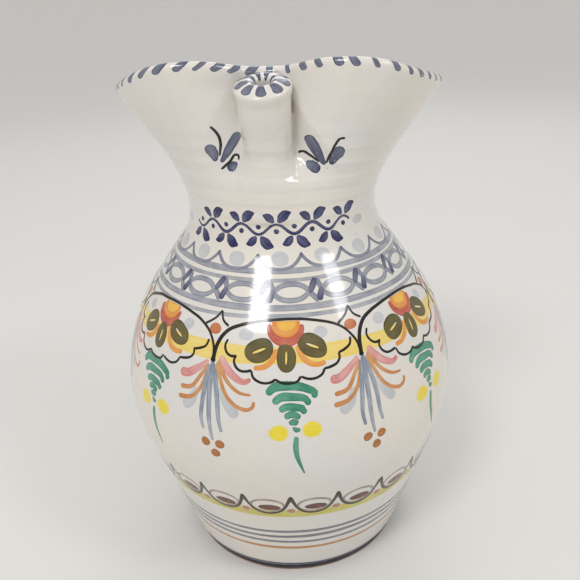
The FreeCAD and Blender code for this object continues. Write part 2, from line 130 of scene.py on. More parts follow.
def read_curve(knots: Array, at: Array, slopes: Array, reads: Array) -> Array:
    """Read a curve that runs through knots with a given slope at each.

    Args:
        knots: The values at the knots.
        at: How far along each knot lies.
        slopes: The slopes at the knots.
        reads: How far along to read it.

    Returns:
        The values read.
    """
    spans = np.clip(np.searchsorted(at, reads, side="right") - 1, 0, len(knots) - 2)
    step = (at[spans + 1] - at[spans])[:, None]
    share = (reads - at[spans])[:, None] / step
    square, cube = share ** 2, share ** 3
    return ((2 * cube - 3 * square + 1) * knots[spans] + (cube - 2 * square + share) * step * slopes[spans]
            + (3 * square - 2 * cube) * knots[spans + 1] + (cube - square) * step * slopes[spans + 1])


def natural_line(places: Places, count: int) -> Rows:
    """Smooth curve through places, straightening out at both ends.

    Args:
        places: Points that the curve passes through.
        count: How many points to read off it.

    Returns:
        Places along the curve and its unit directions.
    """
    knots = np.array(places)
    at = lengths_along(knots)
    steps = np.diff(at)
    runs = np.diff(knots, axis=0) / steps[:, None]
    inner = 1 / np.concatenate([[math.inf], steps, [math.inf]])
    inner[0], inner[-1] = 0.0, 0.0
    matrix = np.diag(2 * (inner[:-1] + inner[1:])) + np.diag(inner[1:-1], 1) + np.diag(inner[1:-1], -1)
    pull = np.zeros((len(knots) + 1, 2))
    pull[1:-1] = runs / steps[:, None]
    slopes = np.linalg.solve(matrix, 3 * (pull[:-1] + pull[1:]))
    line = read_curve(knots, at, slopes, np.linspace(0.0, at[-1], count))
    runs = np.gradient(line, axis=0)
    return line, runs / np.linalg.norm(runs, axis=1)[:, None]


def add_piece(name: str, data: bpy.types.ID) -> Piece:
    """Add an object to the scene, at its origin.

    Args:
        name: The object's name.
        data: Its mesh, line, lamp or camera.

    Returns:
        The new object.
    """
    piece = bpy.data.objects.new(name, data)
    bpy.context.scene.collection.objects.link(piece)
    return piece


def smooth_mesh(name: str, places: Array, faces: list[tuple[int, ...]], unit: float | Array = MM) -> Mesh:
    """Make a smooth-shaded mesh.

    Args:
        name: The mesh's name.
        places: One row of x, y and z for each vertex.
        faces: Vertex numbers of each face.
        unit: Metres in one unit of the places, or of each axis.

    Returns:
        The mesh, in metres.
    """
    mesh = bpy.data.meshes.new(name)
    mesh.from_pydata((places * unit).tolist(), [], faces)
    mesh.polygons.foreach_set("use_smooth", [True] * len(mesh.polygons))
    mesh.update()
    return mesh


def grid_faces(rows: int, columns: int, around: bool, closed: bool = False) -> list[tuple[int, ...]]:
    """Faces of a grid that is numbered row by row.

    Args:
        rows: How many rows there are.
        columns: How many vertices a row has.
        around: Whether each row closes on itself.
        closed: Whether the last row joins the first.

    Returns:
        The faces, turning to the left.
    """
    lines = [(row * columns, (row + 1) % rows * columns) for row in range(rows if closed else rows - 1)]
    steps = [(column, (column + 1) % columns) for column in range(columns if around else columns - 1)]
    return [(low + here, low + after, high + after, high + here)
            for low, high in lines for here, after in steps]


def capped_mesh(name: str, table: Array, ends: Array) -> Mesh:
    """Closed mesh through rings of places.

    Args:
        name: The mesh's name.
        table: The rings, rows by columns by three.
        ends: The middle of each end's cap.

    Returns:
        The mesh.
    """
    rows, columns, _ = table.shape
    faces = grid_faces(rows, columns, around=True)
    first, last = rows * columns, (rows - 1) * columns
    for column in range(columns):
        after = (column + 1) % columns
        faces += [(first, after, column), (last + column, last + after, first + 1)]
    return smooth_mesh(name, np.vstack([table.reshape(-1, 3), ends]), faces)


def facing_out(mesh: Mesh) -> Mesh:
    """Turn a closed mesh's faces so that they point out of it.

    Args:
        mesh: The mesh.

    Returns:
        The same mesh.
    """
    shell = bmesh.new()
    shell.from_mesh(mesh)
    bmesh.ops.recalc_face_normals(shell, faces=shell.faces)
    shell.to_mesh(mesh)
    shell.free()
    return mesh


def bake_modifiers(piece: Piece) -> None:
    """Turn a piece and its modifiers into one plain mesh.

    Args:
        piece: The piece.
    """
    graph = bpy.context.evaluated_depsgraph_get()
    mesh = bpy.data.meshes.new_from_object(piece.evaluated_get(graph))
    mesh.name = piece.name
    piece.modifiers.clear()
    piece.data = mesh


def dress(piece: Piece, material: Material, slot: Slot, *nodes: str) -> None:
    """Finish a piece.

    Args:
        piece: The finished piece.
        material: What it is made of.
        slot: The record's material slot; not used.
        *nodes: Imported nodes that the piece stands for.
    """
    piece.data.materials.clear()
    piece.data.materials.append(material)
    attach(piece, BODY)
    if nodes:
        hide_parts(*nodes)
    log.info("%s: %d faces", piece.name, len(piece.data.polygons))


def turned(degrees: float, axis: str) -> Matrix:
    """Turn by an angle about an axis."""
    return Matrix.Rotation(math.radians(degrees), 4, axis)


def pick(sockets: bpy.types.bpy_prop_collection, key: str | int) -> NodeSocket:
    """One of a node's sockets, by its number or by its name among those in use."""
    return sockets[key] if isinstance(key, int) else next(s for s in sockets if s.name == key and s.enabled)


class Board:
    """Short calls for building the nodes of one tree."""

    def __init__(self, tree: NodeTree) -> None:
        """Keep the tree."""
        self.tree = tree

    def feed(self, node: Node, inputs: dict[str | int, object]) -> None:
        """Fill a node's sockets.

        Args:
            node: The node.
            inputs: What goes into each socket, a value or another socket.
        """
        for key, value in inputs.items():
            target = pick(node.inputs, key)
            if isinstance(value, NodeSocket):
                self.tree.links.new(value, target)
            else:
                target.default_value = value

    def make(self, kind: str, inputs: dict[str | int, object] | None = None, **options: object) -> Node:
        """Add a node.

        Args:
            kind: The node's type.
            inputs: What goes into its sockets.
            **options: The node's own settings.

        Returns:
            The node.
        """
        node = self.tree.nodes.new(kind)
        for name, value in options.items():
            setattr(node, name, value)
        self.feed(node, inputs or {})
        return node

    def sum(self, operation: str, *values: object, clamp: bool = False) -> NodeSocket:
        """Sum of one to three numbers, kept between 0 and 1 when it is clamped."""
        return self.make("ShaderNodeMath", dict(enumerate(values)), operation=operation,
                         use_clamp=clamp).outputs[0]

    def vector(self, operation: str, first: object, second: object = None, scale: object = 1.0) -> NodeSocket:
        """Sum of one or two vectors, or of a vector and a scale."""
        inputs = {0: first, 3: scale} if second is None else {0: first, 1: second}
        return self.make("ShaderNodeVectorMath", inputs, operation=operation).outputs[0]

    def xyz(self, *axes: object) -> NodeSocket:
        """Vector put together from its axes."""
        return self.make("ShaderNodeCombineXYZ", dict(enumerate(axes))).outputs[0]

    def ease(self, value: NodeSocket, low: float, high: float, start: float = 0.0,
             end: float = 1.0) -> NodeSocket:
        """Level that eases from the start to the end while a value goes from low to high."""
        return self.make("ShaderNodeMapRange", {
            "Value": value, "From Min": low, "From Max": high, "To Min": start, "To Max": end},
            interpolation_type="SMOOTHSTEP").outputs["Result"]

    def blend(self, share: object, first: object, second: object, way: str = "MIX") -> NodeSocket:
        """Mix a share of a second colour into the first one."""
        return pick(self.make("ShaderNodeMix", {"Factor": share, "A": first, "B": second},
                              data_type="RGBA", blend_type=way).outputs, "Result")

    def noise(self, vector: NodeSocket, scale: float, detail: float = 2.0,
              roughness: float = 0.5) -> NodeSocket:
        """Soft random pattern, about 0.5 in the middle, with finer ones added to it."""
        return self.make("ShaderNodeTexNoise", {
            "Vector": vector, "Scale": scale, "Detail": detail, "Roughness": roughness}).outputs[0]


def name_sockets(tree: NodeTree, way: str, kinds: dict[str, str]) -> None:
    """Give a node group its named inputs or outputs, one of a kind each."""
    for name, kind in kinds.items():
        tree.interface.new_socket(name=name, in_out=way, socket_type="NodeSocket" + kind)


def start_material(name: str) -> tuple[Material, Board, Node]:
    """Start a material.

    Args:
        name: The material's name.

    Returns:
        The material, the board for its nodes and its shader.
    """
    material = bpy.data.materials.new(name)
    material.use_nodes = True
    return material, Board(material.node_tree), material.node_tree.nodes["Principled BSDF"]


@dataclass(frozen=True)
class Pigment:
    """A brushed colour in the glaze, thin where the brush ran dry."""

    name: str
    thin: tuple[int, int, int]
    full: tuple[int, int, int]
    cover: float = 0.75
    soft: float = 0.10
    streaks: float = 0.6
    pool: float = 0.35
    bristles: Spot = (0.9, 11.0, 1.0)
    cloud_scale: float = 1.6
    cloud_share: float = 0.9
    pool_span: Place = (0.55, 0.92)

    def over(self, board: Board, ground: NodeSocket) -> NodeSocket:
        """Lay the pigment over a ground colour.

        Args:
            board: The material's nodes.
            ground: The ground's socket.

        Returns:
            The painted colour's socket.
        """
        line = board.make("ShaderNodeUVMap", uv_map=BRUSH_UV).outputs[0]
        edge, load = (board.make("ShaderNodeAttribute", attribute_name=key).outputs["Fac"]
                      for key in (EDGE, LOAD))
        hair = board.noise(board.vector("MULTIPLY", line, self.bristles), 1.0, 3.0, 0.6)
        cloud = board.sum("SUBTRACT", board.noise(line, self.cloud_scale), 0.5)
        amount = board.sum("MULTIPLY_ADD", board.sum("SUBTRACT", hair, 0.5), 1.6 * self.streaks, load)
        amount = board.sum("MULTIPLY_ADD", cloud, self.cloud_share, amount)
        amount = board.sum("MULTIPLY_ADD", board.ease(edge, *self.pool_span), self.pool, amount, clamp=True)
        tint = board.blend(amount, paint(*self.thin), paint(*self.full))
        ragged = board.sum("MULTIPLY_ADD", cloud, 0.5 * self.soft, edge)
        fade = board.ease(ragged, 1.0 - self.soft, 1.0, 1.0, 0.0)
        cover = board.sum("MULTIPLY_ADD", amount, 1.0 - self.cover, self.cover, clamp=True)
        return board.blend(board.sum("MULTIPLY", cover, fade), ground, tint)


@dataclass(frozen=True)
class Glaze:
    """White tin glaze: warm, faintly mottled, with a few fired specks."""

    name: str = "tin_glaze"
    warm: Colour = paint(230, 223, 213)
    cool: Colour = paint(225, 222, 218)
    speck: Colour = paint(112, 82, 60)
    roughness: float = 0.13
    cloud_scale: float = 16.0
    mottle_scale: float = 240.0
    ripple_scale: float = 55.0
    mottle: float = 0.07
    speck_scale: float = 150.0
    speck_size: float = 0.055
    speck_share: float = 0.9
    speck_depth: float = 0.75
    relief: float = 0.00008
    bend: float = 1.5
    coat: float = 0.25
    coat_roughness: float = 0.05

    def layer(self) -> NodeTree:
        """Build the group that gives the glaze's colour, gloss and relief.

        Returns:
            The group.
        """
        tree = bpy.data.node_groups.new(self.name + "_layer", "ShaderNodeTree")
        name_sockets(tree, "OUTPUT", {"Colour": "Color", "Roughness": "Float", "Height": "Float"})
        board = Board(tree)
        place = board.make("ShaderNodeTexCoord").outputs["Object"]
        cloud = board.noise(place, self.cloud_scale, 3.0)
        mottle = board.noise(place, self.mottle_scale, 3.0, 0.6)
        tint = board.blend(board.ease(cloud, 0.35, 0.65), self.warm, self.cool)
        shade = board.sum("MULTIPLY_ADD", mottle, self.mottle, 1.0 - self.mottle / 2)
        tint = board.blend(1.0, tint, board.xyz(shade, shade, shade), "MULTIPLY")
        cells = board.make("ShaderNodeTexVoronoi", {"Vector": place, "Scale": self.speck_scale,
                                                    "Randomness": 1.0})
        hue = board.make("ShaderNodeSeparateColor", {0: cells.outputs["Color"]}).outputs[0]
        chosen = board.sum("GREATER_THAN", hue, self.speck_share)
        spot = board.ease(cells.outputs["Distance"], 0.4 * self.speck_size, self.speck_size,
                          self.speck_depth, 0.0)
        tint = board.blend(board.sum("MULTIPLY", spot, chosen), tint, self.speck)
        gloss = board.sum("MULTIPLY_ADD", mottle, self.mottle, self.roughness - self.mottle / 2)
        ripple = board.noise(place, self.ripple_scale)
        height = board.sum("MULTIPLY_ADD", ripple, 0.8, board.sum("MULTIPLY", mottle, 0.2))
        board.make("NodeGroupOutput", {"Colour": tint, "Roughness": gloss, "Height": height})
        return tree

    def material(self, pigment: Pigment | None = None) -> Material:
        """Glossy glazed surface, plain or with a pigment in it.

        Args:
            pigment: What is painted in it, if anything.

        Returns:
            The material.
        """
        material, board, shader = start_material(pigment.name if pigment else self.name)
        tree = bpy.data.node_groups.get(self.name + "_layer") or self.layer()
        layer = board.make("ShaderNodeGroup", node_tree=tree).outputs
        colour = pigment.over(board, layer["Colour"]) if pigment else layer["Colour"]
        bump = board.make("ShaderNodeBump", {"Height": layer["Height"], "Strength": 1.0,
                                             "Distance": self.relief}).outputs[0]
        board.feed(shader, {"Base Color": colour, "Roughness": layer["Roughness"], "Normal": bump,
                            "IOR": self.bend, "Coat Weight": self.coat,
                            "Coat Roughness": self.coat_roughness})
        return material


@dataclass(frozen=True)
class Clay:
    """Bare earthenware of the foot ring, gritty and rubbed by the shelf."""

    name: str = "bare_earthenware"
    fired: Colour = paint(176, 122, 88)
    dusty: Colour = paint(196, 152, 118)
    worn: Colour = paint(120, 92, 74)
    wear: float = 0.6
    grain_scale: float = 900.0
    cloud_scale: float = 40.0
    roughness: Place = (0.72, 0.2)
    relief: float = 0.0003

    def material(self) -> Material:
        """Build the clay's material.

        Returns:
            The material.
        """
        material, board, shader = start_material(self.name)
        place = board.make("ShaderNodeTexCoord").outputs["Object"]
        grain = board.noise(place, self.grain_scale, 4.0, 0.65)
        cloud = board.noise(place, self.cloud_scale, 3.0)
        tint = board.blend(board.ease(cloud, 0.35, 0.65), self.fired, self.dusty)
        tint = board.blend(board.ease(grain, 0.52, 0.7, 0.0, self.wear), tint, self.worn)
        rough = board.sum("MULTIPLY_ADD", grain, self.roughness[1], self.roughness[0])
        bump = board.make("ShaderNodeBump", {"Height": grain, "Strength": 0.6, "Distance": self.relief})
        board.feed(shader, {"Base Color": tint, "Roughness": rough, "Normal": bump.outputs[0]})
        return material


@dataclass(frozen=True)
class SpoutSizes:
    """Pouring tube, in millimetres: where its lip is and how it leans."""

    reach: float = 42.1
    height: float = 244.8
    tilt: float = 13.0
    side: float = -0.8
    radius: float = 11.6
    taper: float = 0.036
    length: float = 49.0
    bore: float = 6.6
    mouth: float = 3.6
    lip_radius: float = 12.2
    lip_edge: float = 1.4
    mouth_edge: float = 2.4
    lip_crown: float = 1.9
    lip_bulge: float = 0.3
    lip_fall: float = 8.0
    lip_lean: float = 6.0
    lean_depth: float = 16.0


@dataclass
class JugForm:
    """Sizes of the thrown wall, in millimetres, and the surface they give."""

    foot_height: float = 4.0
    base_radius: float = 58.0
    base_round: float = 1.2
    belly_radius: float = 84.3
    belly_height: float = 92.5
    lower_curve: float = 70.0
    shoulder_curve: float = 91.0
    neck_curve: float = 25.0
    waist_radius: float = 45.4
    waist_height: float = 184.0
    wall: float = 5.5
    floor_depth: float = 7.0
    floor_curve: float = 14.0
    mouth_turn: float = 7.0
    pinch_reach: float = 32.0
    side_reach: float = 75.2
    back_reach: float = 63.0
    pinch_height: float = 248.8
    lobe_height: float = 252.8
    side_height: float = 240.6
    back_height: float = 236.5
    lip: float = 5.8
    rise_share: float = 0.35
    flare_shares: Place = (0.75, 0.72)
    fold_shares: tuple = ((0.0, 0.0, 0.0), (15.0, 0.07, 0.10), (22.0, 0.21, 0.40), (30.0, 0.39, 0.84))
    lobe_shares: tuple = ((37.0, 0.54, 0.0), (45.0, 0.69, 0.05), (52.0, 0.80, 0.19), (62.0, 0.88, 0.47),
                          (75.0, 0.94, 0.76))
    back_shares: tuple = ((90.0, 0.0, 0.0), (115.0, 0.20, 0.45), (145.0, 0.75, 0.85), (180.0, 1.0, 1.0))
    spout: SpoutSizes = field(default_factory=SpoutSizes)
    spout_blends: Place = (2.2, 15.0)
    blend_span: Place = (14.0, 36.0)
    spout_fade: Place = (15.0, 10.0)
    fade_depth: float = 60.0
    spout_edge: float = 0.95
    ridge: tuple = ((-60.0, 44.0), (205.0, 40.0), (216.5, 31.7), (226.0, 24.0), (236.0, 17.3),
                    (246.0, 12.0))
    hollow_depth: float = 6.5
    hollow_rise: Place = (199.0, 214.0)
    hollow_fall: Place = (240.0, 249.0)
    right_rise: Place = (1.0, 13.0)
    right_fall: float = 0.4
    left_rise: Place = (-44.0, -18.0)
    left_fall: Place = (-13.0, -1.0)
    left_share: float = 0.45
    inner_hollow_share: float = 0.6
    oval: Place = (0.22, 0.12)
    rings: Place = (0.10, 0.05)
    ring_pitch: float = 7.4
    finger_rise: Place = (165.0, 190.0)
    finger_fall: Place = (214.0, 232.0)
    plain_foot: float = 20.0
    columns: int = 320
    crowding: float = 0.5

    def fit_to_frame(self) -> None:
        """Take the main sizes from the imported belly."""
        low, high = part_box("belly")
        self.belly_radius = (high[0] - low[0]) / 2 / MM
        self.foot_height, self.waist_height = low[2] / MM, high[2] / MM

    def tangents(self) -> Place:
        """Angles at which the belly's two round stretches turn straight.

        Returns:
            Both angles in radians, the lower first.
        """
        run = (self.belly_radius - self.lower_curve - self.base_radius,
               self.belly_height - self.foot_height)
        low = math.atan2(run[1], run[0]) - math.asin(self.lower_curve / math.hypot(*run)) - math.pi / 2
        gap = (self.waist_radius + self.neck_curve - self.belly_radius + self.shoulder_curve,
               self.waist_height - self.belly_height)
        reach = (self.shoulder_curve + self.neck_curve) / math.hypot(*gap)
        return low, math.atan2(gap[1], gap[0]) - math.acos(reach)

    def belly_reach(self, height: float, inset: float = 0.0) -> float:
        """Radius of the belly: a slope, two round stretches, a slope and the neck's curve.

        Args:
            height: Where it is read.
            inset: 0 for the outside, the wall's thickness for the inside.

        Returns:
            The radius.
        """
        upper = bool(height >= self.belly_height)
        turn, curve = self.tangents()[upper], self.shoulder_curve if upper else self.lower_curve
        radius, centre, bend = curve - inset, self.belly_radius - curve, self.neck_curve + inset
        up = height - self.belly_height
        past = up - radius * math.sin(turn)
        if past * turn < 0:
            return centre + math.sqrt(radius ** 2 - up ** 2)
        if upper and height >= self.waist_height - bend * math.sin(turn):
            return (self.waist_radius + self.neck_curve
                    - math.sqrt(max(bend ** 2 - (height - self.waist_height) ** 2, 0.0)))
        return centre + radius * math.cos(turn) - past * math.tan(turn)

    def rim(self, angles: Array) -> Rows:
        """Outer reach and crest height of the rim.

        Args:
            angles: Degrees from the fold.

        Returns:
            The reaches and the heights.
        """
        front, back = (self.pinch_reach, self.side_reach), (self.side_reach, self.back_reach)
        spans = ((self.fold_shares, front, (self.pinch_height, self.lobe_height)),
                 (self.lobe_shares, front, (self.lobe_height, self.side_height)),
                 (self.back_shares, back, (self.side_height, self.back_height)))
        table = np.array([(angle, shares(*reach, out), shares(*height, up))
                          for stations, reach, height in spans for angle, out, up in stations])
        slopes = np.zeros_like(table)
        slopes[1:-1] = (table[2:] - table[:-2]) / (table[2:, :1] - table[:-2, :1])
        values = read_curve(table, table[:, 0], slopes, np.abs(half_turned(angles)))
        return values[:, 1], values[:, 2]

    def collar_rows(self, angles: Array, count: int, inside: bool = False) -> Rows:
        """Rows of the flared neck wall from the waist to the lip.

        Args:
            angles: Degrees from the fold, one for each column.
            count: How many rows there are.
            inside: Whether they are the inner ones.

        Returns:
            The rows' radii and heights.
        """
        reach, crest = self.rim(angles)
        foot = self.waist_radius - (self.wall if inside else 0.0)
        tip = reach - (self.lip if inside else 0.0)
        rise = crest - self.lip / 2 - self.waist_height
        radii = (foot + 0 * tip, foot + 0 * tip, foot + self.flare_shares[0] * (tip - foot), tip)
        heights = [self.waist_height + part * rise for part in (0, self.rise_share, self.flare_shares[1], 1)]
        share = np.linspace(0.0, 1.0, count)[:, None]
        weights = ((1 - share) ** 3, 3 * share * (1 - share) ** 2, 3 * share ** 2 * (1 - share), share ** 3)
        return (sum(w * r for w, r in zip(weights, radii)), sum(w * h for w, h in zip(weights, heights)))

    def with_spout(self, radius: Array, height: Array) -> Array:
        """Blend the front of the pouring tube into the neck's outside.

        Args:
            radius: The wall's radii.
            height: The wall's heights.

        Returns:
            The blended radii.
        """
        spout = self.spout
        turn = np.radians(half_turned(self.column_angles()))
        pressed = radius - self.hollows(height)
        down = spout.height - height
        axis = spout.reach - down * math.tan(math.radians(spout.tilt))
        tube = spout.radius - spout.taper * down
        side = np.abs(axis * np.sin(turn) - spout.side)
        edge = self.spout_edge * tube
        rest = np.sqrt(tube ** 2 - edge ** 2)
        bulge = np.where(side < edge, np.sqrt(np.maximum(tube ** 2 - side ** 2, 0.0)),
                         rest - edge / rest * (side - edge))
        fade = smooth_step(*(spout.height - depth for depth in self.spout_fade), height)
        front = axis * np.cos(turn) + bulge - self.fade_depth * fade
        low = 1 - smooth_step(*(self.waist_height + rise for rise in self.blend_span), height)
        blend = shares(*self.spout_blends, low)
        return np.where(np.abs(turn) < 1.0, smooth_most(pressed, front, blend), pressed)

    def hollows(self, height: Array) -> Array:
        """How deep fingers pressed the wall beside the tube: with a ridge on its right, softly on its left.

        Args:
            height: The wall's heights.

        Returns:
            The depths.
        """
        turned = half_turned(self.column_angles()) + 0 * height
        ridge = np.interp(height, *zip(*self.ridge))
        right = smooth_step(*self.right_rise, turned) * np.clip((1 - turned / ridge) / self.right_fall, 0, 1)
        left = window(self.left_rise, self.left_fall, turned)
        pressed = self.hollow_depth * window(self.hollow_rise, self.hollow_fall, height)
        return pressed * (right + self.left_share * left)

    def hand(self, height: Array) -> Array:
        """Small unevenness that the potter's hands leave in the wall.

        Args:
            height: The wall's heights.

        Returns:
            How far the wall stands out there.
        """
        turn = np.radians(self.column_angles())
        oval = self.oval[0] * np.sin(2 * turn + 0.02 * height) + self.oval[1] * np.sin(3 * turn + 1.3)
        climb = 2 * math.pi * height / self.ring_pitch + turn
        rings = self.rings[0] * np.sin(climb) + self.rings[1] * np.sin(2.3 * climb + 1.0)
        fingers = window(self.finger_rise, self.finger_fall, height)
        fade = smooth_step(self.foot_height, self.foot_height + self.plain_foot, height)
        return fade * (oval * (1 - 0.8 * fingers) + (0.25 + 0.9 * fingers) * rings)

    def column_angles(self) -> Array:
        """Degrees from the fold of each column, closest together at the fold."""
        even = whole_turn(self.columns) - math.pi
        return np.degrees(even - self.crowding * np.sin(even))

    def wall_rows(self) -> Rows:
        """All rows of the glazed wall, from under the base to the floor inside.

        Returns:
            The rows' radii and heights.
        """
        angles = self.column_angles()
        edge, foot = self.base_round, self.foot_height
        outside = [(share * (self.base_radius - edge), foot) for share in (0.4, 0.8, 0.86, 1.0)]
        outside += arc_places((self.base_radius - edge, foot + edge), edge, -60.0, 0.0, 3)
        outside += [(self.belly_reach(z), z) for z in np.linspace(foot + edge, self.waist_height, 88)[1:]]
        outer = self.collar_rows(angles, 84)
        inner = self.collar_rows(angles, 32, inside=True)
        reach, crest = self.rim(angles)
        half = self.lip / 2
        turns = np.linspace(0.0, math.pi, 11)[1:-1, None]
        lip = (reach - half + half * np.cos(turns), crest - half + half * np.sin(turns))
        pressed = inner[0] - self.inner_hollow_share * self.hollows(inner[1])
        low = self.tangents()[0]
        floor = foot + self.floor_depth
        corner = floor + self.floor_curve * (1 + math.sin(low))
        bend = self.belly_reach(corner, self.wall) - self.floor_curve * math.cos(low)
        inside = [(self.belly_reach(z, self.wall), z) for z in np.linspace(self.waist_height, corner, 48)[1:]]
        inside += arc_places((bend, floor + self.floor_curve), self.floor_curve,
                             math.degrees(low), -90.0, 9)[1:]
        inside += [(share * bend, floor) for share in (0.86, 0.7, 0.5, 0.3, 0.12)]
        under, floor = (np.array(table).T[..., None] + 0 * angles for table in (outside, inside))
        parts = (under, (self.with_spout(*outer)[1:], outer[1][1:]), lip,
                 (pressed[::-1], inner[1][::-1]), floor)
        radius, height = (np.vstack(rows) for rows in zip(*parts))
        return radius + self.hand(height), height

    def mesh(self, name: str) -> Mesh:
        """Closed mesh of the glazed wall.

        Args:
            name: The mesh's name.

        Returns:
            The mesh.
        """
        radius, height = self.wall_rows()
        turn = np.radians(self.column_angles() - self.mouth_turn)
        ends = np.array([[0.0, 0.0, height[0, 0]], [0.0, 0.0, height[-1, 0]]])
        return capped_mesh(name, round_axis(radius, turn, height), ends)

    def outside(self, angle: float, height: float) -> float:
        """Outer radius at a place, for laying out brushwork.

        Args:
            angle: Degrees from the front.
            height: Height of the place.

        Returns:
            The radius.
        """
        if height <= self.waist_height:
            return self.belly_reach(height)
        radius, heights = self.collar_rows(np.array([angle + self.mouth_turn]), 40)
        return float(np.interp(height, heights[:, 0], radius[:, 0]))


def turned_mesh(name: str, profile: Places, segments: int, placement: Matrix | None = None,
                lift: Callable[[Array], Array] | None = None) -> Mesh:
    """Closed ring or tube turned about its own vertical axis.

    Args:
        name: The mesh's name.
        profile: Radius and height of each point, up the outside.
        segments: How many steps go round.
        placement: Where the axis stands, if not upright at the origin.
        lift: How far each place is lifted, if at all.

    Returns:
        The mesh.
    """
    table = np.array(profile)
    places = round_axis(table[:, :1], whole_turn(segments), table[:, 1:]).reshape(-1, 3)
    if lift:
        places[:, 2] += lift(places)
    if placement:
        places = places @ np.array(placement.to_3x3()).T + np.array(placement.translation)
    return smooth_mesh(name, places, grid_faces(len(table), segments, around=True, closed=True))


def arc_places(centre: Place, radius: float, first: float, last: float, count: int) -> list[Place]:
    """Points on an arc, from one angle in degrees to another."""
    return [(centre[0] + radius * math.cos(t), centre[1] + radius * math.sin(t))
            for t in np.radians(np.linspace(first, last, count))]


@dataclass
class PouringSpout:
    """Closed tube that pours from the folded front, with a rolled lip."""

    form: JugForm
    segments: int = 96
    plug_segments: int = 64
    plug_share: float = 0.5
    proud: float = 0.12
    sunk: float = 0.5
    merge: Place = (24.0, 15.0)

    def __post_init__(self) -> None:
        """Lay out the lip: its place at the fold, leaning forwards, and its own slope."""
        sizes = self.form.spout
        lip = Matrix.Translation((sizes.side, -sizes.reach, sizes.height))
        self.placement = turned(-self.form.mouth_turn, "Z") @ lip @ turned(sizes.tilt, "X")
        self.slope = math.tan(math.radians(sizes.lip_lean))

    def lip_lift(self, places: Array) -> Array:
        """How far the lip's slope lifts places of the upright tube."""
        sizes = self.form.spout
        return self.slope * places[:, 1] * smooth_step(-sizes.lean_depth, -sizes.lip_fall / 2, places[:, 2])

    def bead(self) -> tuple[Place, float]:
        """Middle of the lip's ring and how far it reaches from there."""
        sizes = self.form.spout
        half = (sizes.lip_radius - sizes.mouth) / 2
        return (sizes.mouth + half, -sizes.mouth_edge - sizes.lip_crown / 2), half

    def profile(self) -> list[Place]:
        """Outline of the tube's wall, up its outside and down the bore.

        Returns:
            Radius and height of each point.
        """
        sizes = self.form.spout
        inner, rim = sizes.mouth_edge, -sizes.lip_edge - sizes.lip_crown
        heights = np.linspace(-sizes.length, -sizes.lip_fall, 32)
        stand = shares(-self.sunk, self.proud, smooth_step(*(-depth for depth in self.merge), heights))
        rise = list(zip(sizes.radius + sizes.taper * heights + stand, heights))
        flare = [(shares(rise[-1][0], sizes.lip_radius, smooth_step(0.0, 1.0, s)),
                  shares(-sizes.lip_fall, rim, s)) for s in np.linspace(0.0, 1.0, 7)[1:-1]]
        outer = arc_places((sizes.lip_radius - sizes.lip_edge, rim), sizes.lip_edge, 0.0, 65.0, 8)
        brim = arc_places((sizes.mouth + inner, -inner), inner, 68.0, 180.0, 13)
        swell = sizes.lip_bulge * np.sin(np.linspace(0.0, math.pi, 7)[1:-1])
        top = np.linspace(outer[-1], brim[0], 7)[1:-1] + np.stack([0 * swell, swell], axis=-1)
        bore = np.linspace((sizes.mouth, -inner), (sizes.bore, -sizes.length), 14)[1:]
        return [*rise, *flare, *outer, *top, *brim, *bore]

    def make(self, clay_wall: Piece) -> Piece:
        """Make the tube and open the wall behind it.

        Args:
            clay_wall: The glazed wall.

        Returns:
            The tube.
        """
        sizes, place = self.form.spout, self.placement
        tube = add_piece("pouring_spout", turned_mesh("pouring_spout", self.profile(), self.segments, place,
                                                      self.lip_lift))
        radius, top = shares(sizes.bore, sizes.radius, self.plug_share), -sizes.mouth_edge
        cells = [(0.001, -sizes.length), (radius, -sizes.length), (radius, top), (0.001, top)]
        plug = add_piece("passage", turned_mesh("passage", cells, self.plug_segments, place))
        cutter = clay_wall.modifiers.new("passage", "BOOLEAN")
        cutter.object, cutter.operation, cutter.solver = plug, "DIFFERENCE", "EXACT"
        bake_modifiers(clay_wall)
        bpy.data.objects.remove(plug)
        return tube


@dataclass
class FootRing:
    """Bare ring trimmed under the base, a little worn along its edges."""

    form: JugForm
    radius: float = 56.6
    width: float = 9.0
    edge: float = 1.2
    top_edge: float = 0.15
    segments: int = 256

    def make(self) -> Piece:
        """Make the ring.

        Returns:
            The ring.
        """
        inner, outer = self.radius - self.width, self.radius
        edge, small, top = self.edge, self.top_edge, self.form.foot_height
        outline = arc_places((inner + edge, edge), edge, 180.0, 270.0, 5)
        outline += [(shares(inner + edge, outer - edge, share), 0.0) for share in (0.33, 0.66)]
        outline += arc_places((outer - edge, edge), edge, -90.0, 0.0, 5)
        outline += [(outer, shares(edge, top, 0.5)), (outer, top - small), (outer - small, top),
                    (inner + small, top), (inner, top - small), (inner, shares(edge, top, 0.5))]
        return add_piece("turned_foot_ring", turned_mesh("turned_foot_ring", outline, self.segments))


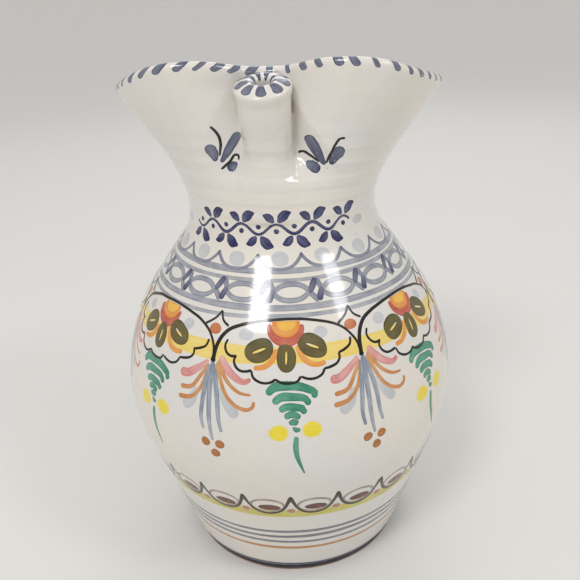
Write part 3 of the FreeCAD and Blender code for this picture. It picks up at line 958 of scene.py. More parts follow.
@dataclass
class StrapHandle:
    """Pulled strap handle and the wet clay that lutes both its ends on."""

    form: JugForm
    top_height: float = 212.0
    crown: Place = (80.0, 224.0)
    reach: Place = (109.0, 190.0)
    root_height: float = 122.0
    low_bend: Place = (0.84, 0.45)
    width: float = 31.0
    depth: float = 12.5
    groove: float = 1.4
    groove_share: float = 0.17
    root_depth_share: float = 1.6
    stations: tuple = ((0.0, 1.14, 1.08), (0.12, 1.08, 1.04), (0.3, 0.98, 1.0), (0.5, 0.92, 0.94),
                       (0.7, 0.90, 0.90), (0.88, 0.94, 0.94), (1.0, 1.04, 1.04))
    spread: float = 5.0
    waviness: float = 0.12
    luting_length: float = 13.0
    free_share: float = 0.55
    far_wall: float = 60.0
    sunk: float = 1.6
    around: int = 56
    along: int = 110

    def __post_init__(self) -> None:
        """Lay out the middle line with its directions, and the turn that brings it opposite the fold."""
        deep = self.root_depth_share * self.form.wall
        top = (self.form.outside(180.0 - self.form.mouth_turn, self.top_height) - deep, self.top_height)
        root = (self.form.belly_reach(self.root_height) - deep, self.root_height)
        low = tuple(shares(*span) for span in zip(root, self.reach, self.low_bend))
        self.line = natural_line([top, self.crown, self.reach, low, root], self.along)
        self.turn = np.array(turned(-self.form.mouth_turn, "Z").to_3x3())

    def section(self, index: int) -> Rows:
        """Oval outline of the strap at one step along it.

        Args:
            index: Which step.

        Returns:
            The outline and the directions out of it.
        """
        stations = np.array(self.stations).T
        share = index / (self.along - 1)
        width, depth = (size * np.interp(share, stations[0], row) / 2
                        for size, row in zip((self.width, self.depth), stations[1:]))
        (out_at, up_at), (out_run, up_run) = (table[index] for table in self.line)
        side, back = np.array(SIDE), np.array([0.0, -up_run, out_run])
        turn = whole_turn(self.around)
        across, over = width * np.cos(turn), depth * np.sin(turn)
        dish = self.groove * np.exp(-(across / (2 * width * self.groove_share)) ** 2)
        over = np.where(over > 0, over - dish * np.clip(over / depth, 0, 1), over)
        places = np.array([0.0, out_at, up_at]) + across[:, None] * side + over[:, None] * back
        out = (np.cos(turn) / width)[:, None] * side + (np.sin(turn) / depth)[:, None] * back
        out /= np.linalg.norm(out, axis=1)[:, None]
        return places @ self.turn.T, out @ self.turn.T

    def landing(self, places: Array, way: Array) -> Array:
        """Where lines from some places, all in one direction, meet the jug's wall."""
        hits = [self.wall.ray_cast(Vector(place * MM), Vector(way))[0] for place in places]
        return np.array([np.array(hit) / MM if hit else place + way * self.luting_length
                         for hit, place in zip(hits, places)])

    def end(self, at_top: bool) -> tuple[int, Array, Array]:
        """Last free section at one end and the direction from it to the wall.

        Args:
            at_top: Which end.

        Returns:
            The section's step, the direction and its landing.
        """
        for index in range(self.along) if at_top else reversed(range(self.along)):
            places, _ = self.section(index)
            way = np.array([0.0, *self.line[1][index]]) @ self.turn.T * (-1 if at_top else 1)
            landing = self.landing(places, way)
            gaps = np.linalg.norm(landing - places, axis=1)
            free = gaps.min() >= self.free_share * self.luting_length and gaps.max() < self.far_wall
            if free and ((landing - places) @ way).min() > 1.0:
                return index, way, landing
        raise ValueError("the strap's end finds no wall")

    def make(self, clay_wall: Piece) -> list[Piece]:
        """Make the strap and both lutings.

        Args:
            clay_wall: The glazed wall.

        Returns:
            The strap, the upper luting and the lower luting.
        """
        self.wall = BVHTree.FromObject(clay_wall, bpy.context.evaluated_depsgraph_get())
        upper, lower = self.end(at_top=True), self.end(at_top=False)
        rows = np.array([self.section(index)[0] for index in range(upper[0], lower[0] + 1)])
        steps = np.linspace(0.0, 1.0, 9)[1:, None, None]
        start, finish = (edge + steps * (landing + self.sunk * way - edge)
                         for edge, (_, way, landing) in ((rows[0], upper), (rows[-1], lower)))
        table = np.vstack([start[::-1], rows, finish])
        mesh = capped_mesh("pulled_handle", table, table[[0, -1]].mean(axis=1))
        return [add_piece("pulled_handle", facing_out(mesh)),
                self.luting("upper_luting", *upper), self.luting("lower_luting", *lower)]

    def luting(self, name: str, index: int, way: Array, landing: Array) -> Piece:
        """Smeared coil of clay between the strap and the wall.

        Args:
            name: The piece's name.
            index: The strap's last free section.
            way: Direction from there to the wall.
            landing: Where that meets the wall.

        Returns:
            The luting.
        """
        places, out = self.section(index)
        wavy = self.spread * (1.0 + self.waviness * np.sin(3 * whole_turn(self.around) + index))
        skirt = self.landing(places + wavy[:, None] * out, way) + 0.5 * way
        share = np.linspace(0.0, 1.0, 15)[:, None, None]
        rise = 1 - np.sqrt(1 - share ** 2)
        smear = places + share * (landing - places) + rise * (skirt - landing) + 0.25 * (1 - share) * out
        hidden = [landing + self.sunk * way - out, (places + landing) / 2 - out, places - 0.6 * out]
        table = np.vstack([smear, hidden])
        faces = grid_faces(len(table), self.around, around=True, closed=True)
        return add_piece(name, facing_out(smooth_mesh(name, table.reshape(-1, 3), faces)))


@dataclass
class Sheet:
    """Flat drawing in one pigment; the metric gives the millimetres in its units of x and y."""

    metric: Callable[[float, float], Place]
    rng: random.Random
    lift: float = 0.06
    sunk_edge: float = -0.02
    spread: float = 1.25
    bristles: Sequence[float] = (1.0, 0.82, 0.4, 0.0, -0.4, -0.82, -1.0)
    fill_grid: tuple[int, int] = (8, 24)
    wobble: Place = (0.035, 0.025)
    grids: list = field(default_factory=list)
    faces: list = field(default_factory=list)

    def add_grid(self, places: Array, line: Array, edge: Array, load: Array, around: bool = False) -> None:
        """Add one grid of paint.

        Args:
            places: Sheet places, rows by columns by two.
            line: The brush's own places, in millimetres.
            edge: 0 in the middle of the paint, 1 on its border.
            load: How much pigment it holds.
            around: Whether each row closes on itself.
        """
        rows, columns, _ = places.shape
        start = sum(map(len, self.grids))
        self.faces += [tuple(start + corner for corner in face) for face in grid_faces(rows, columns, around)]
        drawn = line / 10 + self.rng.uniform(0.0, 40.0)
        lift = np.where(edge > 0.99, self.sunk_edge, self.lift)
        self.grids.append(np.dstack([places, drawn, edge, load, lift]).reshape(-1, 7))

    def stroke(self, points: Places, widths: Sequence[float], load: Place, step: float = 1.1,
               closed: bool = False) -> None:
        """Draw one brush stroke through points.

        Args:
            points: Sheet places that it passes through.
            widths: Its widths in millimetres, at even steps.
            load: Pigment at the start and at the end.
            step: Millimetres between the places along it.
            closed: Whether it meets itself round the jug.
        """
        size = np.array(self.metric(*np.mean(points, axis=0)))
        flat = np.array(points) * size
        line = brush_line(flat, max(int(lengths_along(flat)[-1] / step * 4), 40), closed)
        length = lengths_along(line)
        whole = length[-1]
        width = np.array(widths) * self.spread
        caps = [0.0 if closed else 0.5 * min(end, whole / 2) for end in (width[0], width[-1])]
        bow = 1 - np.cos(np.linspace(0.0, math.pi / 2, 5))
        run = np.unique(np.round(np.concatenate([
            caps[0] * bow, np.arange(caps[0], whole - caps[1], step)[1:], [whole - caps[1]],
            whole - caps[1] * bow[:-1]]), 5))
        middle, way = (np.stack([np.interp(run, length, axis) for axis in table.T], axis=-1)
                       for table in (line, np.gradient(line, axis=0)))
        way /= np.linalg.norm(way, axis=1)[:, None]
        broad = np.interp(run / whole, np.linspace(0, 1, len(width)), width) / 2
        across = np.array(self.bristles)
        tip = 0.0
        if not closed:
            for cap, gone in zip(caps, (run, whole - run)):
                near = np.clip(gone / max(cap, 1e-6), 0.0, 1.0)
                broad = broad * np.sqrt(np.clip(1 - (1 - near) ** 2, 0.0004, 1))
            tip = np.clip(1 - np.minimum(run, whole - run)[:, None] / broad.max(), 0, 0.97)
        offset = broad[:, None] * across
        normal = np.stack([-way[:, 1], way[:, 0]], axis=-1)
        places = middle[:, None, :] + offset[..., None] * normal[:, None, :]
        edge = np.maximum(np.abs(across) + 0 * offset, tip)
        held = np.interp(run / whole, (0.0, 1.0), load)[:, None] + 0 * offset
        self.add_grid(places / size, np.dstack([run[:, None] + 0 * offset, offset]), edge, held)

    def blob(self, load: float, centre: Place, half: Place, tilt: float = 0.0,
             slit: Place | None = None, squareness: float = 2.0) -> None:
        """Fill an oval with paint, with or without a bare slit in it.

        Args:
            load: How much pigment it holds.
            centre: Its middle on the sheet.
            half: Half its length and height, in millimetres.
            tilt: Degrees that it is turned to the left.
            slit: Half the bare slit's length and height.
            squareness: 2 for an ellipse, more for a squarer one.
        """
        turn = whole_turn(max(20, int(4 * max(half))))
        phase = self.rng.uniform(0, 6)
        wobble = 1 + (self.wobble[0] * np.sin(2 * turn + phase)
                      + self.wobble[1] * np.sin(3 * turn + 2 * phase))
        circle = np.stack([np.cos(turn), np.sin(turn)], axis=-1)
        outer = np.array(half) * np.sign(circle) * np.abs(circle) ** (2 / squareness) * wobble[:, None]
        inner = np.array(slit or (0.02, 0.02)) * circle
        rings = np.array([0.0, 0.08, 0.35, 0.65, 0.88, 1.0] if slit else [0.0, 0.3, 0.6, 0.86, 1.0])[::-1]
        grid = inner[None] + rings[:, None, None] * (outer - inner)[None]
        edge = (np.abs(2 * rings - 1) if slit else rings)[:, None] + 0 * grid[..., 0]
        lean = math.radians(tilt)
        spin = np.array([[math.cos(lean), math.sin(lean)], [-math.sin(lean), math.cos(lean)]])
        places = (grid @ spin) / np.array(self.metric(*centre)) + np.array(centre)
        self.add_grid(places, grid, edge, load + 0 * edge, around=True)

    def between(self, load: float, low: Places, high: Places) -> None:
        """Fill the space between two lines that both run to the right.

        Args:
            load: How much pigment it holds.
            low: The lower line.
            high: The upper line.
        """
        rows, columns = self.fill_grid
        lower, upper = (brush_line(np.array(line), columns) for line in (low, high))
        up, along = np.linspace(0.0, 1.0, rows)[:, None], np.linspace(0.0, 1.0, columns)
        places = lower[None] + up[..., None] * (upper - lower)[None]
        edge = np.maximum(np.abs(2 * up - 1), np.abs(2 * along - 1)[None])
        size = np.array(self.metric(*np.mean(low, axis=0)))
        self.add_grid(places, places * size, edge, load + 0 * edge)

    def mesh(self, name: str, units: Place) -> Mesh:
        """Flat mesh of the drawing, in its XZ plane, with what the brush left on it.

        Args:
            name: The mesh's name.
            units: What one unit of x and of y becomes.

        Returns:
            The mesh.
        """
        table = np.vstack(self.grids)
        mesh = smooth_mesh(name, np.insert(table[:, :2], 1, 0.0, axis=1), self.faces,
                           np.insert(np.array(units), 1, 1.0))
        corners = np.empty(len(mesh.loops), dtype=int)
        mesh.loops.foreach_get("vertex_index", corners)
        drawn = table[corners, 2:4].astype(np.float32)
        mesh.uv_layers.new(name=BRUSH_UV).uv.foreach_set("vector", drawn.ravel())
        for key, values in ((EDGE, table[:, 4]), (LOAD, table[:, 5]), (LIFT, table[:, 6] * MM)):
            held = mesh.attributes.new(key, "FLOAT", "POINT")
            held.data.foreach_set("value", values.astype(np.float32))
        return mesh


def brush_line(knots: Array, count: int, closed: bool = False) -> Array:
    """Curve through a stroke's points.

    Args:
        knots: The points.
        count: How many places to read off it.
        closed: Whether both ends have one direction.

    Returns:
        The places read.
    """
    if len(knots) < 3:
        return np.linspace(knots[0], knots[-1], count)
    at = lengths_along(knots)
    slopes = np.gradient(knots, at, axis=0)
    if closed:
        slopes[0] = slopes[-1] = (slopes[0] + slopes[-1]) / 2
    return read_curve(knots, at, slopes, np.linspace(0.0, at[-1], count))


class BrushTree:
    """Node tree that repeats a flat drawing and lays it on a surface."""

    INPUTS = {"Surface": "Object", "Material": "Material", "Copies": "Int", "Pitch": "Float",
              "Start": "Float", "Drift": "Float", "Wander": "Float", "Swell": "Float", "Seed": "Int",
              "Reach": "Float"}

    def __init__(self, name: str, **extra: str) -> None:
        """Start the tree with its named inputs.

        Args:
            name: The tree's name.
            **extra: Kinds of its further inputs.
        """
        self.tree = bpy.data.node_groups.new(name, "GeometryNodeTree")
        name_sockets(self.tree, "OUTPUT", {"Geometry": "Geometry"})
        name_sockets(self.tree, "INPUT", {"Geometry": "Geometry", **self.INPUTS, **extra})
        self.board = Board(self.tree)
        self.inputs = self.board.make("NodeGroupInput").outputs

    def shape_of(self, name: str) -> NodeSocket:
        """Geometry of the object that an input names."""
        return self.board.make("GeometryNodeObjectInfo", {"Object": self.inputs[name]},
                               transform_space="ORIGINAL").outputs["Geometry"]

    def random(self, kind: str, low: NodeSocket, high: NodeSocket, offset: float) -> NodeSocket:
        """Random value of a kind for each copy, from the seed and an offset."""
        seed = self.board.sum("ADD", self.inputs["Seed"], offset)
        return pick(self.board.make("FunctionNodeRandomValue", {"Min": low, "Max": high, "Seed": seed},
                                    data_type=kind).outputs, "Value")

    def repeat(self) -> tuple[NodeSocket, list[NodeSocket]]:
        """Repeat the drawing along x, each copy a little different.

        Returns:
            The copies, and the axes of their places.
        """
        board, inputs = self.board, self.inputs
        line = board.make("GeometryNodeMeshLine", {
            "Count": inputs["Copies"], "Start Location": board.xyz(inputs["Start"]),
            "Offset": board.xyz(inputs["Pitch"])}, mode="OFFSET").outputs[0]
        swell = inputs["Swell"]
        size = self.random("FLOAT", board.sum("SUBTRACT", 1.0, swell), board.sum("ADD", 1.0, swell), 0.0)
        copies = board.make("GeometryNodeInstanceOnPoints", {
            "Points": line, "Instance": inputs["Geometry"], "Scale": board.xyz(size, size, size)}).outputs[0]
        far = board.xyz(inputs["Drift"], 0.0, inputs["Wander"])
        shift = self.random("FLOAT_VECTOR", board.vector("SCALE", far, scale=-1.0), far, 7.0)
        moved = board.make("GeometryNodeTranslateInstances", {"Instances": copies, "Translation": shift})
        place = board.make("GeometryNodeInputPosition").outputs[0]
        return (board.make("GeometryNodeRealizeInstances", {0: moved.outputs[0]}).outputs[0],
                board.make("ShaderNodeSeparateXYZ", {0: place}).outputs)

    def lay(self, geometry: NodeSocket, base: NodeSocket, outward: NodeSocket, reach: object) -> NodeTree:
        """Drop each place of the drawing straight onto the surface.

        Args:
            geometry: The flat copies.
            base: Where each place stands under the surface.
            outward: The direction away from the surface.
            reach: How far it may drop, in metres.

        Returns:
            The finished tree.
        """
        board, surface = self.board, self.shape_of("Surface")
        source = board.vector("ADD", base, board.vector("SCALE", outward, scale=self.inputs["Reach"]))
        hit = board.make("GeometryNodeRaycast", {
            "Target Geometry": surface, "Source Position": source, "Ray Length": reach,
            "Ray Direction": board.vector("SCALE", outward, scale=-1.0)}).outputs["Hit Position"]
        facing = pick(board.make("GeometryNodeSampleNearestSurface", {
            0: surface, "Value": board.make("GeometryNodeInputNormal").outputs[0],
            "Sample Position": hit}, data_type="FLOAT_VECTOR").outputs, "Value")
        kept = board.make("GeometryNodeStoreNamedAttribute", {
            "Geometry": geometry, "Name": WALL_NORMAL, "Value": facing},
            data_type="FLOAT_VECTOR", domain="POINT").outputs[0]
        lift = board.make("GeometryNodeInputNamedAttribute", {"Name": LIFT}, data_type="FLOAT").outputs
        raised = board.vector("SCALE", facing, scale=pick(lift, "Attribute"))
        laid = board.make("GeometryNodeSetPosition", {"Geometry": kept, "Position": hit, "Offset": raised})
        solid = board.make("GeometryNodeRealizeInstances", {0: laid.outputs[0]}).outputs[0]
        named = board.make("GeometryNodeSetMaterial", {
            "Geometry": solid, "Material": self.inputs["Material"]}).outputs[0]
        board.make("NodeGroupOutput", {"Geometry": named})
        return self.tree


def wall_tree() -> NodeTree:
    """Build the tree for the wall; x is the angle from the front.

    Returns:
        The tree.
    """
    brush = BrushTree("brushwork_on_wall")
    board = brush.board
    copies, (angle, _, height) = brush.repeat()
    back = board.sum("MULTIPLY", board.sum("COSINE", angle), -1.0)
    outward = board.xyz(board.sum("SINE", angle), back)
    return brush.lay(copies, board.xyz(0.0, 0.0, height), outward, brush.inputs["Reach"])


def path_tree() -> NodeTree:
    """Build the tree for a path; x runs along it and z is an angle round it.

    Returns:
        The tree.
    """
    brush = BrushTree("brushwork_round_path", Path="Object", Up="Vector")
    board, up = brush.board, brush.inputs["Up"]
    copies, (along, _, angle) = brush.repeat()
    path = brush.shape_of("Path")
    whole = board.make("GeometryNodeCurveLength", {0: path}).outputs[0]
    share = board.sum("FRACT", board.sum("DIVIDE", along, whole))
    read = board.make("GeometryNodeSampleCurve", {"Curves": path, "Factor": share}, mode="FACTOR").outputs
    side = board.vector("NORMALIZE", board.vector("CROSS_PRODUCT", read["Tangent"], up))
    outward = board.vector("ADD", board.vector("SCALE", side, scale=board.sum("COSINE", angle)),
                           board.vector("SCALE", up, scale=board.sum("SINE", angle)))
    return brush.lay(copies, read["Position"], outward, 0.05)


def lay_brushwork(name: str, sheet: Sheet, units: Place, tree: NodeTree, values: dict[str, object]) -> None:
    """Lay a drawing on the jug as one piece.

    Args:
        name: The piece's name.
        sheet: The flat drawing.
        units: What one unit of x and of y becomes.
        tree: The node tree that lays it.
        values: The tree's inputs by name.
    """
    piece = add_piece(name, sheet.mesh(name, units))
    layer = piece.modifiers.new("brushwork", "NODES")
    layer.node_group = tree
    for item in tree.interface.items_tree:
        if item.in_out == "INPUT" and item.name in values:
            layer[item.identifier] = values[item.name]
    bake_modifiers(piece)
    mesh = piece.data
    normals = np.empty(len(mesh.vertices) * 3, dtype=np.float32)
    mesh.attributes[WALL_NORMAL].data.foreach_get("vector", normals)
    mesh.normals_split_custom_set_from_vertices(normals.reshape(-1, 3).tolist())
    for spare in (WALL_NORMAL, LIFT):
        mesh.attributes.remove(mesh.attributes[spare])
    dress(piece, values["Material"], Slot.GLAZE)


class Brush(Enum):
    """The pigments that the jug is painted with."""

    OUTLINE = Pigment("manganese_black", (36, 31, 24), (15, 13, 11), 1.0, soft=0.05, streaks=0.4)
    GREY_BLUE = Pigment("grey_blue_wash", (184, 187, 193), (122, 127, 141), 0.85)
    LINK = Pigment("grey_blue_link", (122, 127, 150), (62, 68, 100), 0.9)
    SCALLOP = Pigment("scallop_grey", (162, 166, 178), (100, 105, 126), 0.9)
    # Dark blue-black, used only for the band laid over the foot ring's outer side.
    NIGHT = Pigment("night_blue", (52, 56, 72), (22, 24, 36), 0.95, streaks=0.7)
    INDIGO = Pigment("indigo", (72, 84, 132), (30, 32, 84), 0.85, streaks=0.8)
    SLATE = Pigment("slate_blue", (108, 117, 140), (46, 54, 86), 0.85, streaks=0.8)
    PALE = Pigment("pale_grey", (210, 210, 213), (186, 188, 193), 0.85, soft=0.2, pool=0.1)
    BAND = Pigment("straw_yellow", (243, 220, 128), (236, 202, 88), 0.85, pool=0.15)
    YELLOW = Pigment("egg_yellow", (246, 200, 72), (232, 164, 48), 0.9, soft=0.06)
    LEMON = Pigment("lemon_yellow", (244, 228, 62), (232, 208, 20), 0.95, soft=0.3, pool=0.1)
    ORANGE = Pigment("orange", (238, 176, 84), (222, 136, 46), 0.85)
    TANGERINE = Pigment("tangerine_dot", (212, 138, 88), (182, 96, 46), 0.95)
    RED = Pigment("iron_red", (214, 118, 90), (178, 68, 50), 0.9)
    PINK = Pigment("rose", (232, 180, 174), (208, 126, 124), 0.75)
    OCHRE = Pigment("ochre", (226, 168, 104), (190, 118, 56), 0.85)
    OLIVE = Pigment("olive", (118, 106, 54), (80, 70, 28), 0.95, soft=0.05, streaks=0.5)
    GREEN = Pigment("copper_green", (96, 176, 146), (30, 122, 96), 0.92)
    SMOKE = Pigment("smoke_grey", (184, 190, 200), (124, 134, 152), 0.8, streaks=0.95)
    BERRY = Pigment("russet_dot", (196, 128, 60), (160, 94, 32), 0.95, soft=0.05)
    GARLAND = Pigment("garland_brown", (86, 72, 32), (48, 39, 16), 0.95, soft=0.05)
    WINE = Pigment("wine_brown", (142, 74, 64), (92, 36, 34), 0.9, soft=0.15)
    MEADOW = Pigment("meadow_wash", (214, 204, 86), (188, 176, 48), 0.8, soft=0.45, pool=0.0)
    HONEY = Pigment("honey_line", (208, 148, 84), (172, 106, 48), 0.85)
    STEEL = Pigment("steel_line", (136, 141, 152), (88, 94, 110), 0.85)
    UMBER = Pigment("umber_loop", (186, 168, 160), (128, 104, 98), 0.6, soft=0.35)
    RUST = Pigment("rust_smudge", (198, 146, 84), (158, 100, 50), 0.75, soft=0.45)


Put = Callable[[Places], list[Place]]


@dataclass(frozen=True)
class Strokes:
    """Strokes of a motif, each with its points and its widths."""

    brush: Brush
    level: int
    load: Place
    lines: Sequence[tuple[Places, Sequence[float]]]
    step: float = 1.1

    def draw(self, sheet: Sheet, put: Put) -> None:
        """Draw them where they are put."""
        for points, widths in self.lines:
            sheet.stroke(put(points), widths, self.load, self.step)


@dataclass(frozen=True)
class Blobs:
    """Ovals of a motif: middle, half sizes and perhaps tilt, slit and squareness."""

    brush: Brush
    level: int
    load: float
    ovals: Sequence[tuple]

    def draw(self, sheet: Sheet, put: Put) -> None:
        """Draw them where they are put."""
        for centre, *shape in self.ovals:
            sheet.blob(self.load, put([centre])[0], *shape)


@dataclass(frozen=True)
class Fill:
    """Shape of a motif, filled between two lines."""

    brush: Brush
    level: int
    load: float
    low: Places
    high: Places

    def draw(self, sheet: Sheet, put: Put) -> None:
        """Draw it where it is put."""
        sheet.between(self.load, put(self.low), put(self.high))


@dataclass
class Painter:
    """Draws on sheets, one for each pigment in a layer, and lays them on the jug."""

    form: JugForm
    glaze: Glaze
    surface: Piece
    seed: int = 11
    ray_reach: float = 0.14
    lift: float = 0.03
    layer_lift: float = 0.02
    sheets: dict = field(default_factory=dict)
    materials: dict = field(default_factory=dict)

    def __post_init__(self) -> None:
        """Build both trees and start the seeded unevenness of the hand."""
        self.rng = random.Random(self.seed)
        self.wall, self.path = wall_tree(), path_tree()

    def metric(self, angle: float, height: float) -> Place:
        """Millimetres in a degree and in a millimetre at a place on the wall."""
        return math.radians(self.form.outside(angle, height)), 1.0

    def sheet(self, brush: Brush, level: int) -> Sheet:
        """Wall drawing of one pigment in one layer, started on first use.

        Args:
            brush: The pigment.
            level: The layer, 0 next to the glaze.

        Returns:
            The drawing.
        """
        key = (brush, level)
        if key not in self.sheets:
            self.sheets[key] = Sheet(self.metric, random.Random(self.seed + len(self.sheets)),
                                     self.lift + self.layer_lift * level)
        return self.sheets[key]

    def unit(self, lift: float = 0.06) -> Sheet:
        """Empty drawing for one repeated unit."""
        return Sheet(self.metric, random.Random(self.rng.randrange(999)), lift)

    def draw(self, motif: Sequence[Strokes | Blobs | Fill], put: Put = list) -> None:
        """Draw a motif's marks, each on its own sheet."""
        for mark in motif:
            mark.draw(self.sheet(mark.brush, mark.level), put)

    def material(self, brush: Brush) -> Material:
        """The pigment's material, made once."""
        return self.materials.get(brush) or self.materials.setdefault(brush, self.glaze.material(brush.value))

    def lay(self, name: str, brush: Brush, sheet: Sheet, copies: int = 1, start: float = 0.0,
            drift: float = 0.0, wander: float = 0.0, swell: float = 0.0) -> None:
        """Lay a wall drawing, once or evenly repeated round the jug.

        Args:
            name: The piece's name.
            brush: Its pigment.
            sheet: The drawing.
            copies: How many there are.
            start: Degrees from the front to the first.
            drift: Degrees that one may stray sideways.
            wander: Millimetres that one may stray up or down.
            swell: Share that one may be larger or smaller.
        """
        lay_brushwork(name, sheet, (DEGREE, MM), self.wall, {
            "Surface": self.surface, "Material": self.material(brush), "Copies": copies,
            "Pitch": 2 * math.pi / copies, "Start": start * DEGREE, "Drift": drift * DEGREE,
            "Wander": wander * MM, "Swell": swell, "Seed": self.seed, "Reach": self.ray_reach})

    def lay_all(self) -> None:
        """Lay every wall drawing that was collected."""
        for (brush, level), sheet in self.sheets.items():
            self.lay(f"brushwork_{brush.name.lower()}_{level}", brush, sheet)

    def ring(self, brush: Brush, height: float, width: float, load: float, level: int, wave: float) -> None:
        """Line right round the jug, as the wheel turned it.

        Args:
            brush: The pigment.
            height: The line's height.
            width: Its width.
            load: How much pigment it holds.
            level: The layer.
            wave: How far the hand wavered.
        """
        phase = self.rng.uniform(0, 6)
        turns = np.linspace(-180.0, 180.0, 73)
        rise, swell = (sum(share * np.sin(np.radians(times * turns) + late * phase)
                           for share, times, late in waves)
                       for waves in (((1, 2, 1), (0.5, 5, 2)), ((0.08, 3, 1), (0.06, 8, 2))))
        points = np.stack([turns, height + wave * rise], axis=-1)
        self.sheet(brush, level).stroke(points, width * (1 + swell), (load, load), step=1.6, closed=True)


